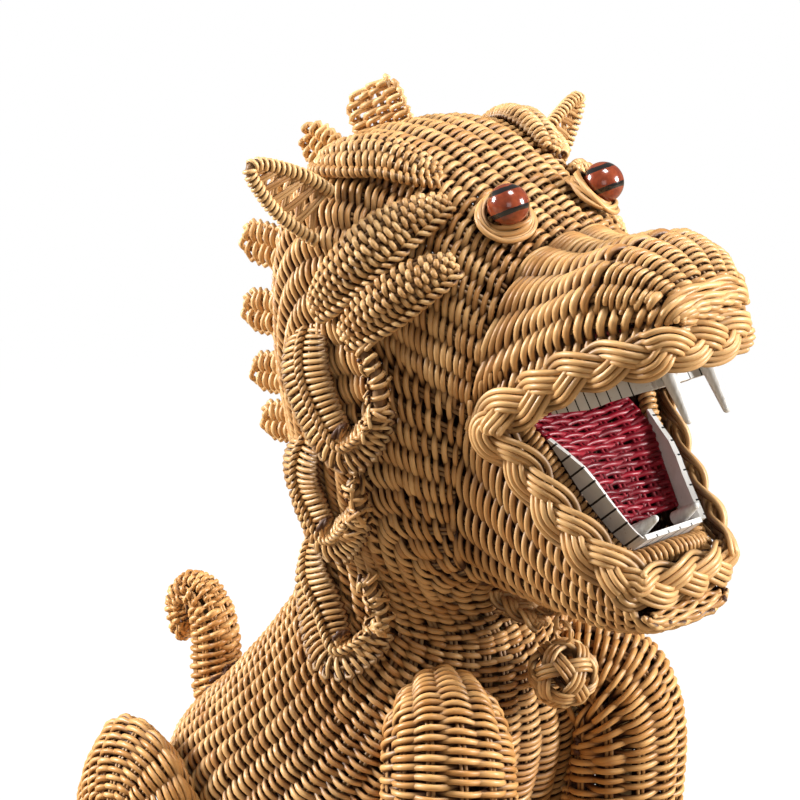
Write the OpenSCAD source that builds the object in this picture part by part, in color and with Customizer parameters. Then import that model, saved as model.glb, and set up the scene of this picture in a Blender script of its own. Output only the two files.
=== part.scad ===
// Wicker lion-dog statue: woven skins over a bent-cane frame.
// Millimetres, +Z up, nose toward -Y, the dog's left side toward +X.

/* [Overall] */
// height of the eye line above the floor
eye_h = 395; // [340:1:460]
// eye line in front of the middle of the statue
eye_fwd = 83; // [60:1:110]
// thickness of the woven skin
skin_t = 9; // [6:0.5:12]
// clearance between pieces that sit on each other
seat = 0.3; // [0.2:0.05:0.6]
// points round a hoop
round_n = 28; // [20:4:36]
// stake ribs round the head
head_ribs = 28; // [16:2:32]
// stake ribs round the body
body_ribs = 32; // [16:2:36]
// depth of the grooves between the stake ribs
rib_d = 2.2; // [0.5:0.1:3]

/* [Head] */
// width over the cheeks
head_w = 156; // [130:1:180]
// width at the mouth corners
mouth_w = 110; // [90:1:130]
// height of the crown above the eye line
crown_rise = 22; // [10:1:35]
// nape behind the eye line
nape_back = 141; // [120:1:160]
// throat behind the eye line
throat_back = 27; // [15:1:40]
// throat below the eye line
throat_drop = 190; // [170:1:210]

/* [Muzzle and jaw] */
// nose ahead of the eye line
nose_reach = 100; // [85:1:120]
// width of the nose
nose_w = 50; // [40:1:64]
// chin ahead of the eye line
chin_reach = 86; // [70:1:100]
// width of the chin
chin_w = 58; // [44:1:80]
// thickness of the lip braid, outward
braid_t = 14; // [8:0.5:16]
// width of the lip braid, across the lip
braid_w = 21; // [14:0.5:24]
// diameter of the wrapped rod inside the lips
rim_d = 9; // [6:0.5:11]

/* [Teeth] */
// thickness of a tooth board
board_t = 2.5; // [1.5:0.5:4]
// height of a tooth board
board_h = 11; // [7:0.5:14]
// diameter of a fang at its root
fang_d = 8; // [6:0.5:10]
// length of an upper fang
upper_fang = 31; // [22:1:38]
// length of a lower fang
lower_fang = 18; // [12:1:26]

/* [Eyes and ears] */
// diameter of an eye bead
bead_d = 19; // [14:0.5:24]
// diameter of the peg that holds a bead
peg_d = 4; // [3:0.5:5]
// clearance of the peg in the bead
peg_fit = 0.1; // [0.05:0.05:0.3]
// reed of the eye ring
ring_d = 5; // [4:0.5:7]
// length of an ear
ear_len = 47; // [38:1:60]
// width of an ear at its root
ear_w = 21; // [16:1:26]
// diameter of the wrapped ear hoop
ear_d = 7; // [5:0.5:9]

/* [Mane] */
// thickness of a crest tab
tab_t = 8; // [6:0.5:10]
// width of a crest tab
tab_w = 22; // [16:1:28]
// length of the longest crest tab
tab_len = 66; // [45:1:80]
// bulge of a brow or cheek lobe
lobe_h = 13; // [8:0.5:18]
// width of a mane curl
curl_w = 25; // [18:1:32]
// thickness of a mane curl
curl_t = 9; // [6:0.5:12]

/* [Body] */
// width of the neck
neck_w = 124; // [100:1:150]
// width of the body over the belly
body_w = 180; // [150:1:210]
// rump behind the eye line
rump_back = 226; // [205:1:250]

/* [Limbs and tail] */
// foreleg from the middle of the body
leg_x = 59; // [50:1:70]
// diameter of a foreleg
leg_d = 66; // [54:1:76]
// diameter of an ankle
ankle_d = 58; // [48:1:70]
// height of a paw
paw_h = 33; // [26:1:42]
// length of a forepaw ahead of the leg
paw_reach = 50; // [40:1:64]
// half-width across the haunches
haunch_x = 119; // [108:1:140]
// length of a haunch
haunch_len = 98; // [96:1:136]
// height of a haunch
haunch_h = 120; // [104:1:140]
// length of a hind paw ahead of its haunch
hind_reach = 78; // [56:1:96]
// diameter of the tail at its root
tail_d = 34; // [24:1:38]
// diameter of the tail at its tip
tip_d = 16; // [12:1:20]

/* [Bell] */
// diameter of the open-work ball
ball_d = 32; // [26:1:40]
// thickness of the wall of the ball
ball_wall = 4; // [3:0.5:6]
// diameter of an opening of the ball
hole_d = 9; // [6:0.5:12]
// diameter of the reed of the ring and the eye
link_d = 3.2; // [2.6:0.2:4]
// mean diameter of the ring and the eye
link_w = 10; // [9:0.5:14]
// clearance between the ring and the eye
link_gap = 0.5; // [0.3:0.1:1]
// diameter of the stem
stem_d = 8; // [6:0.5:11]

/* [Frame] */
// diameter of a frame cane
cane_d = 12; // [8:1:16]
// diameter of a hoop cane
hoop_d = 8; // [6:1:10]
// thickness of the base board
base_t = 8; // [5:1:12]
// diameter of a nail
nail_d = 1.8; // [1.4:0.2:2.6]
// length of a nail
nail_l = 22; // [16:1:30]

/* [Hidden] */
$fn = 48;

function mix(a, b, t) = a + (b - a) * t;
function unit(v) = v / norm(v);
function flip(list) = [for (i = [len(list) - 1 : -1 : 0]) list[i]];
function spline(a, b, c, d, t) =
    0.5 * (2 * b + (c - a) * t + (2 * a - 5 * b + 4 * c - d) * t * t + (3 * b - a - 3 * c + d) * t * t * t);
// smooth value of a list at station s
function at(list, s) =
    let (last = len(list) - 1, i = max(0, min(floor(s), last - 1)))
    spline(list[max(i - 1, 0)], list[i], list[i + 1], list[min(i + 2, last)], s - i);
// point in the middle plane, measured from the eye line
function eye(y, z) = [y - eye_fwd, z + eye_h];
// section of a skin: crest point, belly point, half-width, height of the widest place, squareness
function sec(top, low, w, k, n) = [top[0], top[1], low[0], low[1], w, k, n];
function top_of(s) = [s[0], s[1]];
function low_of(s) = [s[2], s[3]];
function bow(t, n) = sign(t) * pow(abs(t), 2 / n);
function ring_point(s, a, inset = 0) =
    let (tall = norm(top_of(s) - low_of(s)),
         up = (top_of(s) - low_of(s)) / tall,
         rise = (cos(a) >= 0 ? tall * (1 - s[5]) : tall * s[5]) - inset,
         q = low_of(s) + up * (tall * s[5] + rise * bow(cos(a), s[6])))
    [(s[4] - inset) * bow(sin(a), s[6]), q[0], q[1]];
function ring(s, inset = 0) = [for (j = [0 : round_n - 1]) ring_point(s, 360 * j / round_n, inset)];
// rings of a skin with a groove between every two stakes, outside and then back inside
function ribbed_rings(list, m, ribs) =
    let (n = 2 * ribs, last = len(list) - 1)
    concat([for (i = [0 : m]) [for (j = [0 : n - 1])
               ring_point(at(list, last * i / m), 360 * j / n, j % 2 == 0 ? 0 : rib_d)]],
           [for (i = [m : -1 : 0]) [for (j = [0 : n - 1])
               ring_point(at(list, last * i / m), 360 * j / n, skin_t)]]);
// point on the skin and its outward direction at station s, angle a from the crest
function skin_point(list, s, a) = ring_point(at(list, s), a);
function skin_out(list, s, a) =
    let (c = unit(cross(skin_point(list, s + 0.05, a) - skin_point(list, s - 0.05, a),
                        skin_point(list, s, a + 1) - skin_point(list, s, a - 1))),
         p = skin_point(list, s, a),
         m = (top_of(at(list, s)) + low_of(at(list, s))) / 2)
    c * (p - [0, m[0], m[1]]) < 0 ? -c : c;
// ring drawn on a skin about station s0, angle a0
function patch(list, s0, a0, ds, da, n, off) =
    [for (j = [0 : n - 1])
        let (s = s0 - ds * cos(360 * j / n), a = a0 + da * sin(360 * j / n))
        skin_point(list, s, a) + skin_out(list, s, a) * off];
// half-width of a skin at a place of the side view
function line_gap(s, y, z) = (s[0] - s[2]) * (z - s[3]) - (s[1] - s[3]) * (y - s[2]);
function station(list, y, z, lo, hi, n = 16) =
    let (m = (lo + hi) / 2)
    n == 0 ? m :
    line_gap(at(list, m), y, z) * line_gap(at(list, lo), y, z) > 0 ? station(list, y, z, m, hi, n - 1)
        : station(list, y, z, lo, m, n - 1);
function side_x(list, p) =
    let (s = at(list, station(list, p[0], p[1], 0, len(list) - 1)),
         d = top_of(s) - low_of(s),
         t = ((p - low_of(s)) * d) / (d * d),
         q = t > s[5] ? (t - s[5]) / (1 - s[5]) : (s[5] - t) / s[5])
    s[4] * pow(max(0, 1 - pow(min(1, q), s[6])), 1 / s[6]);
function side_out(list, p) =
    unit([2, side_x(list, p - [1, 0]) - side_x(list, p + [1, 0]),
          side_x(list, p - [0, 1]) - side_x(list, p + [0, 1])]);
function side_point(list, p, off = 0) = [side_x(list, p), p[0], p[1]] + side_out(list, p) * off;

// rings of a round tube along a path that stays roughly square to ref
function tube(path, radii, ref, n) =
    [for (i = [0 : len(path) - 1])
        let (t = unit(path[min(i + 1, len(path) - 1)] - path[max(i - 1, 0)]),
             u = unit(cross(t, ref)),
             v = cross(u, t))
        [for (j = [0 : n - 1]) path[i] + radii[i] * (u * cos(360 * j / n) + v * sin(360 * j / n))]];
function trail(list, m) = [for (i = [0 : m]) at(list, (len(list) - 1) * i / m)];
function centre(r) = [for (k = [0 : 2]) [for (p = r) p[k]] * [for (p = r) 1] / len(r)];
function six_volumes(p, f) = [for (t = f) cross(p[t[0]], p[t[1]]) * p[t[2]]] * [for (t = f) 1];

// closed solid through rings of equal count; open ends run on from the last ring to the first,
// and the ends of an arch are strips between its outer and inner lines
module loft(r, capped = true, arched = false) {
    n = len(r[0]);
    m = len(r);
    e = (m - 1) * n;
    pts = concat([for (q = r) each q], capped && !arched ? [centre(r[0]), centre(r[m - 1])] : []);
    side = [for (i = [0 : capped ? m - 2 : m - 1], j = [0 : n - 1], h = [0, 1])
        let (a = i * n + j,
             b = i * n + (j + 1) % n,
             c = (i + 1) % m * n + (j + 1) % n,
             d = (i + 1) % m * n + j)
        h == 0 ? [a, d, c] : [a, c, b]];
    strips = [for (j = [0 : n / 2 - 2], h = [0 : 3])
        let (k = n - 1 - j)
        h == 0 ? [j, j + 1, k - 1] : h == 1 ? [j, k - 1, k]
            : h == 2 ? [e + k - 1, e + j + 1, e + j] : [e + k, e + k - 1, e + j]];
    fans = [for (j = [0 : n - 1], h = [0, 1])
        h == 0 ? [j, (j + 1) % n, m * n] : [e + (j + 1) % n, e + j, m * n + 1]];
    ends = !capped ? [] : arched ? strips : fans;
    faces = concat(side, ends);
    polyhedron(pts, six_volumes(pts, faces) < 0 ? faces : [for (f = faces) flip(f)]);
}
module on_side(side) {
    if (side < 0) mirror([1, 0, 0]) children();
    else children();
}
// lays the local x, y and z directions along three vectors at a place
module frame(p, x, y, z) {
    multmatrix([[x[0], y[0], z[0], p[0]], [x[1], y[1], z[1], p[1]], [x[2], y[2], z[2], p[2]], [0, 0, 0, 1]])
        children();
}
// stands the local z direction along a vector
module stand(p, z) {
    x = unit(cross(abs(z[1]) > 0.9 ? [0, 0, 1] : [0, 1, 0], z));
    frame(p, x, cross(z, x), z) children();
}

// sections of the head from the mouth corners over the crown and down the neck to the collar
collar_top = eye(nape_back - 6, -192);
collar_low = eye(throat_back - 7, -throat_drop - 25);
HEAD = [
    sec(eye(-14, crown_rise - 33), eye(throat_back - 3, -throat_drop + 3), mouth_w / 2, 0.53, 2.6),
    sec(eye(22, crown_rise - 16), eye(throat_back - 1, 1 - throat_drop),
        mix(mouth_w, head_w, 0.48) / 2, 0.58, 2.7),
    sec(eye(60, crown_rise), eye(throat_back, -throat_drop - 1), mix(mouth_w, head_w, 0.82) / 2, 0.64, 2.8),
    sec(eye(98, crown_rise - 1), eye(throat_back + 1, -throat_drop - 3), head_w / 2, 0.64, 2.7),
    sec(eye(nape_back - 13, crown_rise - 24), eye(throat_back + 1, -throat_drop - 6), head_w / 2, 0.59, 2.5),
    sec(eye(nape_back, -48), eye(throat_back, -throat_drop - 10), mix(neck_w, head_w, 0.75) / 2, 0.54, 2.3),
    sec(eye(nape_back, -100), eye(throat_back - 1, -throat_drop - 14),
        mix(neck_w, head_w, 0.37) / 2, 0.5, 2.2),
    sec(eye(nape_back - 5, -150), eye(throat_back - 3, -throat_drop - 19), mix(neck_w, head_w, 0.06) / 2,
        0.5, 2.2),
    sec(collar_top, collar_low, neck_w / 2, 0.5, 2.2)];
corner = mix(low_of(HEAD[0]), top_of(HEAD[0]), HEAD[0][5]);

// sections of the muzzle (crest, lip) and of the jaw (bottom, lip), from the mouth corners forward
function lip_sec(top, lip, w, n = 2.6) = [top[0], top[1], lip[0], lip[1], w, 0, n];
MUZZLE = [
    lip_sec(top_of(HEAD[0]), corner, mouth_w / 2),
    lip_sec(eye(-0.34 * nose_reach, -13), eye(-0.21 * nose_reach, -72), mix(mouth_w, nose_w, 0.16) / 2, 2.3),
    lip_sec(eye(-0.58 * nose_reach, -7), eye(-0.46 * nose_reach, -55), mix(mouth_w, nose_w, 0.32) / 2, 2.9),
    lip_sec(eye(-0.77 * nose_reach, -10), eye(-0.67 * nose_reach, -46.5), mix(mouth_w, nose_w, 0.55) / 2, 3),
    lip_sec(eye(-0.9 * nose_reach, -20), eye(-0.84 * nose_reach, -41), mix(mouth_w, nose_w, 0.78) / 2, 2.8),
    lip_sec(eye(-0.97 * nose_reach, -30), eye(-0.94 * nose_reach, -38), nose_w / 2)];
chin_lip = 17 - throat_drop;
function jaw_lip(y, t) = [y - eye_fwd, mix(corner[1], chin_lip + eye_h, t)];
JAW = [
    lip_sec(low_of(HEAD[0]), corner, mouth_w / 2),
    lip_sec(eye(-0.07 * chin_reach, 1 - throat_drop), jaw_lip(-0.18 * chin_reach, 0.28),
            mix(mouth_w, chin_w, 0.18) / 2),
    lip_sec(eye(-0.38 * chin_reach, -1 - throat_drop), jaw_lip(-0.42 * chin_reach, 0.57),
            mix(mouth_w, chin_w, 0.38) / 2),
    lip_sec(eye(-0.67 * chin_reach, -1 - throat_drop), jaw_lip(-0.67 * chin_reach, 0.8),
            mix(mouth_w, chin_w, 0.58) / 2),
    lip_sec(eye(-0.89 * chin_reach, 3 - throat_drop), jaw_lip(-0.86 * chin_reach, 0.94),
            mix(mouth_w, chin_w, 0.82) / 2),
    lip_sec(eye(-chin_reach, -throat_drop + 8), jaw_lip(-0.97 * chin_reach, 1), chin_w / 2)];
// thick arch from lip to lip
arch_n = 18;
function arch_point(s, a, inset) =
    let (up = top_of(s) - low_of(s),
         tall = norm(up),
         q = low_of(s) + up / tall * max(1, tall - inset) * bow(sin(a), s[6]))
    [(s[4] - inset) * bow(-cos(a), s[6]), q[0], q[1]];
function arch(s, wall) = concat([for (j = [0 : arch_n]) arch_point(s, 180 * j / arch_n, 0)],
                                [for (j = [arch_n : -1 : 0]) arch_point(s, 180 * j / arch_n, wall)]);
function arches(list, m) = [for (i = [0 : m]) arch(at(list, (len(list) - 1) * i / m), skin_t)];

// sections of the body from the collar to the floor
BODY = [
    HEAD[8],
    sec(eye(nape_back + 12, -224), eye(throat_back - 15, -throat_drop - 50), mix(neck_w, body_w, 0.43) / 2,
        0.5, 2.2),
    sec(eye(mix(nape_back, rump_back, 0.46), -256), eye(throat_back - 18, -throat_drop - 80),
        mix(neck_w, body_w, 0.8) / 2, 0.5, 2.3),
    sec(eye(rump_back - 11, -292), eye(throat_back - 8, -0.775 * eye_h), body_w / 2, 0.5, 2.4),
    [rump_back - eye_fwd, 58, throat_back + 7 - eye_fwd, 54, body_w / 2, 0.5, 2.5],
    [rump_back - 3 - eye_fwd, 26, throat_back + 19 - eye_fwd, 24, body_w / 2 - 4, 0.5, 2.5],
    [rump_back - 13 - eye_fwd, 0, throat_back + 27 - eye_fwd, 0, body_w / 2 - 11, 0.5, 2.5]];

TRUNK = concat(HEAD, [for (i = [1 : 6]) BODY[i]]);

// lips: path of the braid from one mouth corner round the front to the other
function lip_row(list, i, drop) =
    let (s = list[i],
         t = unit(low_of(list[min(i + 1, 5)]) - low_of(list[i - 1])),
         d = unit(low_of(s) - top_of(s)),
         n = [-t[1], t[0]] * sign(t[0] * d[1] - t[1] * d[0]),
         q = low_of(s) + unit(mix(n, d, max(0, (i - 3) / 2))) * drop * (1 + 0.05 * max(0, i - 3)))
    [s[4] - 1, q[0], q[1]];
function lip_path(list, drop) =
    let (up = top_of(list[5])[1] > corner[1] ? 1 : -1,
         end = [mouth_w / 2 + 2.4, corner[0] - 16, corner[1] + up * seat],
         half = concat([end], [for (i = [1 : 5]) lip_row(list, i, drop)]),
         front = [0, half[5][1] - 0.16 * list[5][4], half[5][2] - up])
    concat(half, [front], [for (i = [5 : -1 : 0]) [-half[i][0], half[i][1], half[i][2]]]);
UPPER_LIP = lip_path(MUZZLE, braid_w / 2 + 2 * seat);
LOWER_LIP = lip_path(JAW, braid_w / 2 + 3 * seat);
// outward and mouthward directions of a lip at a station of its path
function lip_ahead(path, s) =
    let (t = unit(at(path, min(s + 0.1, 12)) - at(path, max(s - 0.1, 0))),
         v = [0, 0, sign(path[6][2] - corner[1]) * (s < 6 ? 1 : -1)])
    unit(mix(v, t, min(1, min(s, 12 - s) / 0.8)));
function lip_out(path, s) =
    let (p = at(path, s),
         t = lip_ahead(path, s),
         o = [p[0], 0.8 * (p[1] - corner[0] + 20), 0])
    unit(o - t * (o * t));
function lip_in(path, s, up) =
    let (b = cross(lip_ahead(path, s), lip_out(path, s)))
    b * [0, -0.35, up] > 0 ? b : -b;
function lip_tube(path, m, s0, s1, off_out, off_in, half_out, half_in, n, up) =
    [for (i = [0 : m])
        let (v = 2 * i / m - 1,
             s = mix(s0, s1, 0.5 + 0.2 * v + 0.3 * sin(90 * v)),
             o = lip_out(path, s),
             b = lip_in(path, s, up),
             end = min(1, 0.8 + 0.2 * min(s, 12 - s)),
             c = at(path, s) + o * off_out + b * off_in)
        [for (j = [0 : n - 1]) c + o * half_out * cos(360 * j / n) + b * half_in * end * sin(360 * j / n)]];

// frame: base board, bent canes and hoops
module base_board() {
    color("BurlyWood") linear_extrude(base_t)
        polygon([for (p = ring(BODY[6], skin_t + seat)) [p[0], p[1]]]);
}
// place at a depth below the crest (top) or the belly of a skin
function inside(list, s, top, depth) =
    let (a = top ? 0 : 180)
    skin_point(list, s, a) - skin_out(list, s, a) * depth;
cane_in = skin_t + 6 * seat + cane_d / 2;
spine_path = concat([[0, inside(BODY, 5.7, true, cane_in)[1], base_t + 5 * seat]],
                    [for (s = [4.6 : -0.8 : 0.6]) inside(BODY, s, true, cane_in)],
                    [for (s = [7.8 : -0.7 : 4.3]) inside(HEAD, s, true, cane_in)]);
module spine_cane() {
    color("Peru") loft(tube(spine_path, [for (p = spine_path) cane_d / 2], [1, 0, 0], 10));
}
breast_path = concat([[0, inside(BODY, 5.7, false, cane_in)[1], base_t + 5 * seat]],
                     [for (s = [4.6 : -0.8 : 0.6]) inside(BODY, s, false, cane_in)],
                     [inside(HEAD, 7.4, false, cane_in)]);
module breast_cane() {
    color("Peru") loft(tube(breast_path, [for (p = breast_path) cane_d / 2], [1, 0, 0], 10));
}
muzzle_path = concat([for (s = [3.6 : -0.6 : 0.6]) inside(HEAD, s, true, cane_in)],
                     [for (s = [0.2 : 0.8 : 3.4]) inside(MUZZLE, s, true, cane_in)]);
module muzzle_cane() {
    color("Peru") loft(tube(muzzle_path, [for (p = muzzle_path) cane_d / 2], [1, 0, 0], 10));
}
jaw_in = skin_t + seat + hoop_d / 2 + 0.3;
jaw_path = [for (s = [0.4 : 0.5 : 3.4]) inside(JAW, s, true, jaw_in)];
module jaw_cane() {
    color("Peru") loft(tube(jaw_path, [for (p = jaw_path) hoop_d / 2], [1, 0, 0], 10));
}
hoop_in = cane_in + cane_d / 2 + hoop_d / 2 + 6 * seat;
function hoop_rings(list, s, n = 8) =
    let (q = at(list, s),
         up = concat([0], unit(top_of(q) - low_of(q))),
         across = cross(up, [1, 0, 0]))
    [for (j = [0 : round_n - 1])
        let (p = ring_point(q, 360 * j / round_n, hoop_in),
             p2 = ring_point(q, 360 * j / round_n, hoop_in + 1),
             o = unit(p - p2))
        [for (i = [0 : n - 1]) p + hoop_d / 2 * (o * cos(360 * i / n) + across * sin(360 * i / n))]];
module hip_hoop() { color("Peru") loft(hoop_rings(BODY, 3.4), false); }
module shoulder_hoop() { color("Peru") loft(hoop_rings(BODY, 1.2), false); }
module neck_hoop() { color("Peru") loft(hoop_rings(HEAD, 7.3), false); }
leg_y = 8 - eye_fwd;
paw_wall = skin_t - 2;
module leg_cane(side) {
    on_side(side) color("Peru") translate([leg_x, leg_y, paw_wall + seat])
        cylinder(d = cane_d, h = eye_h - 250 - skin_t);
}
module leg_cane_right() { leg_cane(-1); }
module leg_cane_left() { leg_cane(1); }
module frame_nails() {
    color("Gray")
        for (p = [spine_path[0], breast_path[0]])
            translate([0, p[1], 1]) cylinder(d = nail_d, h = nail_l, $fn = 24);
}

// woven skins, grooved between the stakes
module body_skin() {
    color("Tan") loft(ribbed_rings(BODY, 13, body_ribs), false);
}
module head_skin() {
    color("Tan") loft(ribbed_rings(HEAD, 15, head_ribs), false);
}
module muzzle_skin() { color("Tan") loft(arches(MUZZLE, 11), arched = true); }
module jaw_skin() { color("Tan") loft(arches(JAW, 10), arched = true); }

// forelegs: an elbow from a ring on the breast to a level ring, then straight down to the ankle
limb_n = 20;
leg_s = 1.3;
leg_a = 143;
leg_bend = eye_h - 282;
leg_root = skin_point(BODY, leg_s, leg_a);
leg_fwd = unit([leg_x - leg_root[0], leg_y - leg_root[1], 0]);
leg_in = [leg_fwd[1], -leg_fwd[0], 0];
// front of the body at a place across and a height
function front_at(s, x) =
    let (q = at(BODY, s),
         t = q[5] * (1 - pow(max(0, 1 - pow(min(1, abs(x) / q[4]), q[6])), 1 / q[6])))
    mix(low_of(q), top_of(q), t);
function front_y(x, z, lo = 0, hi = 6, n = 14) =
    let (m = (lo + hi) / 2, p = front_at(m, x))
    n == 0 ? p[0] : p[1] > z ? front_y(x, z, m, hi, n - 1) : front_y(x, z, lo, m, n - 1);
function before_body(p, gap) = [p[0], min(p[1], front_y(p[0], p[2]) - gap), p[2]];
function leg_ring(z, r) =
    [for (j = [0 : limb_n - 1])
        [leg_x, leg_y, z] + r * (leg_fwd * cos(360 * j / limb_n) + leg_in * sin(360 * j / limb_n))];
function leg_rings(wall) =
    let (k = (leg_d / 2 - wall) / (leg_d / 2),
         root = patch(BODY, leg_s, leg_a, 0.95 * k, 21 * k, limb_n, seat),
         down = leg_ring(leg_bend, leg_d / 2 - wall))
    concat([for (i = [0 : 6]) [for (j = [0 : limb_n - 1])
                let (t = i / 6,
                     c = [down[j][0], down[j][1], root[j][2] + 6 * k],
                     p = (1 - t) * (1 - t) * root[j] + 2 * t * (1 - t) * c + t * t * down[j])
                i == 0 ? p : before_body(p, 2 * seat + wall * t)]],
           [for (i = [1 : 4])
               [for (p = leg_ring(mix(leg_bend, paw_h, i / 4), mix(leg_d, ankle_d, i / 4) / 2 - wall))
                   before_body(p, 2 * seat + wall)]]);
module foreleg(side) {
    on_side(side) color("Tan") loft(concat(leg_rings(0), flip(leg_rings(skin_t))), false);
}
module foreleg_right() { foreleg(-1); }
module foreleg_left() { foreleg(1); }
function paw_ring(z, x, y0, y1, rx) =
    [for (j = [0 : limb_n - 1])
        let (a = 360 * j / limb_n)
        [x + rx * bow(sin(a), 2.3), mix(y0, y1, 0.5) + (y1 - y0) / 2 * bow(cos(a), 2.3), z]];
function forepaw_rings(wall) =
    let (r = ankle_d / 2, back = leg_y + r, f = leg_y - paw_reach)
    [paw_ring(paw_h - seat, leg_x, leg_y - r + wall, back - wall, r - wall),
     paw_ring(0.78 * paw_h, leg_x, mix(leg_y - r, f, 0.5) + wall, back - wall, r + 3 - wall),
     paw_ring(0.5 * paw_h + wall / 5, leg_x, mix(leg_y - r, f, 0.9) + wall, back - wall, r + 7 - wall),
     paw_ring(0.22 * paw_h + wall / 2, leg_x, f + wall, back + 1 - wall, r + 8 - wall),
     paw_ring(wall, leg_x, f + 3 + wall, back - 1 - wall, r + 5 - wall)];
module forepaw(side) {
    on_side(side) color("Tan") loft(concat(flip(forepaw_rings(paw_wall)), forepaw_rings(0)));
}
module forepaw_right() { forepaw(-1); }
module forepaw_left() { forepaw(1); }

// haunches: a dome that stands on a ring drawn on the flank
haunch_y = 185 - eye_fwd;
haunch_z = haunch_h / 2;
function haunch_ring(k, wall) =
    let (f = pow(1 - pow(k, 2.2), 1 / 2.2))
    [for (j = [0 : limb_n - 1])
        let (a = 360 * j / limb_n,
             y = (haunch_len / 2 - wall) * f * bow(sin(a), 2.2),
             z = (haunch_h / 2 - wall) * f * bow(cos(a), 2.2))
        [0, haunch_y + y, haunch_z + z]];
function haunch_rings(wall) =
    let (c = [haunch_y - 13, haunch_z + 2],
         root = [for (p = haunch_ring(0, wall))
             side_point(BODY, c + 0.66 * [p[1] - haunch_y, p[2] - haunch_z], seat)])
    concat([root],
           [for (k = [0.25, 0.5, 0.7, 0.84, 0.93, 0.985])
               let (q = haunch_ring(k, wall))
               [for (j = [0 : limb_n - 1])
                   [mix(root[j][0], haunch_x - wall, pow(k, 0.9)), q[j][1], q[j][2]]]]);
module haunch(side) {
    on_side(side) color("Tan") loft(concat(flip(haunch_rings(skin_t)), haunch_rings(0)));
}
module haunch_right() { haunch(-1); }
module haunch_left() { haunch(1); }
hind_x = haunch_x - 24;
hind_y = haunch_y - 0.3 * haunch_len;
// front of the haunch at a height
function haunch_front(z) =
    haunch_y - haunch_len / 2 * pow(max(0, 1 - pow(abs(z - haunch_z) / haunch_z, 2.2)), 1 / 2.2);
function hind_ring(y, r, h) =
    [for (j = [0 : limb_n - 1])
        let (a = 360 * j / limb_n,
             z = h / 2 + h / 2 * bow(cos(a), 2.4),
             q = [min(y, haunch_front(z) - 2 * seat), z])
        [max(hind_x + r * bow(sin(a), 2.4), side_x(BODY, q) + 2 * seat), q[0], z]];
module hindpaw(side) {
    y1 = hind_y - hind_reach;
    on_side(side) color("Tan")
        loft([hind_ring(hind_y, 17, paw_h), hind_ring(mix(hind_y, y1, 0.3), 20, paw_h + 2),
              hind_ring(mix(hind_y, y1, 0.6), 23, paw_h + 3), hind_ring(mix(hind_y, y1, 0.82), 22, paw_h),
              hind_ring(mix(hind_y, y1, 0.95), 17, 0.72 * paw_h), hind_ring(y1, 9, 0.4 * paw_h)]);
}
module hindpaw_right() { hindpaw(-1); }
module hindpaw_left() { hindpaw(1); }

// tail: a hook woven tight over a cane core
tail_s = 3.15;
tail_foot = skin_point(BODY, tail_s, 0);
tail_list = [for (p = [[0, 0], [10, 2], [14, 16], [15, 34], [21, 48], [31, 51], [39, 43], [38, 31], [33, 28]])
    tail_foot + concat([0], p)];
tail_path = trail(tail_list, 18);
core_d = tip_d - 7;
module tail_skin() {
    n = 12;
    radii = [for (i = [0 : 18]) mix(tail_d, tip_d, pow(i / 18, 0.8)) / 2 * (i == 18 ? 0.7 : 1)];
    outer = tube(tail_path, radii, [1, 0, 0], n);
    inner = tube([for (i = [0 : 15]) tail_path[i]], [for (i = [0 : 15]) core_d / 2 + seat], [1, 0, 0], n);
    skin_n = [for (j = [0 : n - 1]) outer[0][j]];
    root = [for (p = skin_n) [p[0], root_y(p) + seat, p[2]]];
    root_in = [for (p = inner[0]) [p[0], root_y(p) + seat, p[2]]];
    color("Tan") loft(concat(flip(concat([root_in], [for (i = [2 : 15]) inner[i]])),
                             [root], [for (i = [2 : 18]) outer[i]]));
}
// back of the body at a height, near the middle plane
function root_y(p) =
    let (s = station(BODY, tail_foot[1], p[2], 2, 5), q = at(BODY, s),
         c = (q[0] + q[2]) / 2, b = (q[0] - q[2]) / 2)
    c + b * pow(max(0, 1 - pow(abs(p[0]) / q[4], q[6])), 1 / q[6]);
module tail_core() {
    path = concat([for (i = [2 : 14]) tail_path[i]]);
    color("Peru") loft(tube(path, [for (p = path) core_d / 2], [1, 0, 0], 10));
}

// mouth: lip braids, wrapped rods, tooth boards, fangs and the dyed throat panel
module upper_lip() {
    color("Wheat") loft(lip_tube(UPPER_LIP, 36, 0.05, 11.95, 0, 0, braid_t / 2, braid_w / 2, 10, -1));
}
module lower_lip() {
    color("Wheat") loft(lip_tube(LOWER_LIP, 36, 0.05, 11.95, 0, 0, braid_t / 2, braid_w / 2, 10, 1));
}
rim_out = -0.465 * braid_t - rim_d / 2 - seat;
rim_up = braid_w / 4;
module upper_rim() {
    color("BurlyWood") loft(lip_tube(UPPER_LIP, 30, 1, 11, rim_out, rim_up, rim_d / 2, rim_d / 2, 8, -1));
}
module lower_rim() {
    color("BurlyWood") loft(lip_tube(LOWER_LIP, 30, 1, 11, rim_out, rim_up, rim_d / 2, rim_d / 2, 8, 1));
}
// foot of a tooth board on the mouthward side of a rod; boards run between two stations of the lip
board_rise = seat + sqrt(pow(rim_d / 2, 2) - pow(max(0, 0.4 * rim_d - board_t / 2), 2));
board_s0 = 1.05;
board_s1 = 3.4;
function board_foot(path, s, up) =
    at(path, s) + lip_out(path, s) * (rim_out - 0.4 * rim_d)
                + lip_in(path, s, up) * (rim_up + board_rise);
function board_up(path, up) =
    let (v = board_foot(path, board_s1, up) - board_foot(path, board_s0, up))
    unit([0, -v[2], v[1]]) * (v[1] * up > 0 ? 1 : -1);
module side_board(path, side, up) {
    m = 8;
    tall = board_up(path, up);
    on_side(side) color("White") loft([for (i = [0 : m])
        let (s = mix(board_s0, board_s1, i / m),
             p = board_foot(path, s, up),
             o = lip_out(path, s) * board_t / 2,
             h = tall * board_h * min(1, 0.08 + 0.92 * (s - board_s0) / 0.7))
        [p - o, p + o, p + o + h, p - o + h]]);
}
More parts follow.
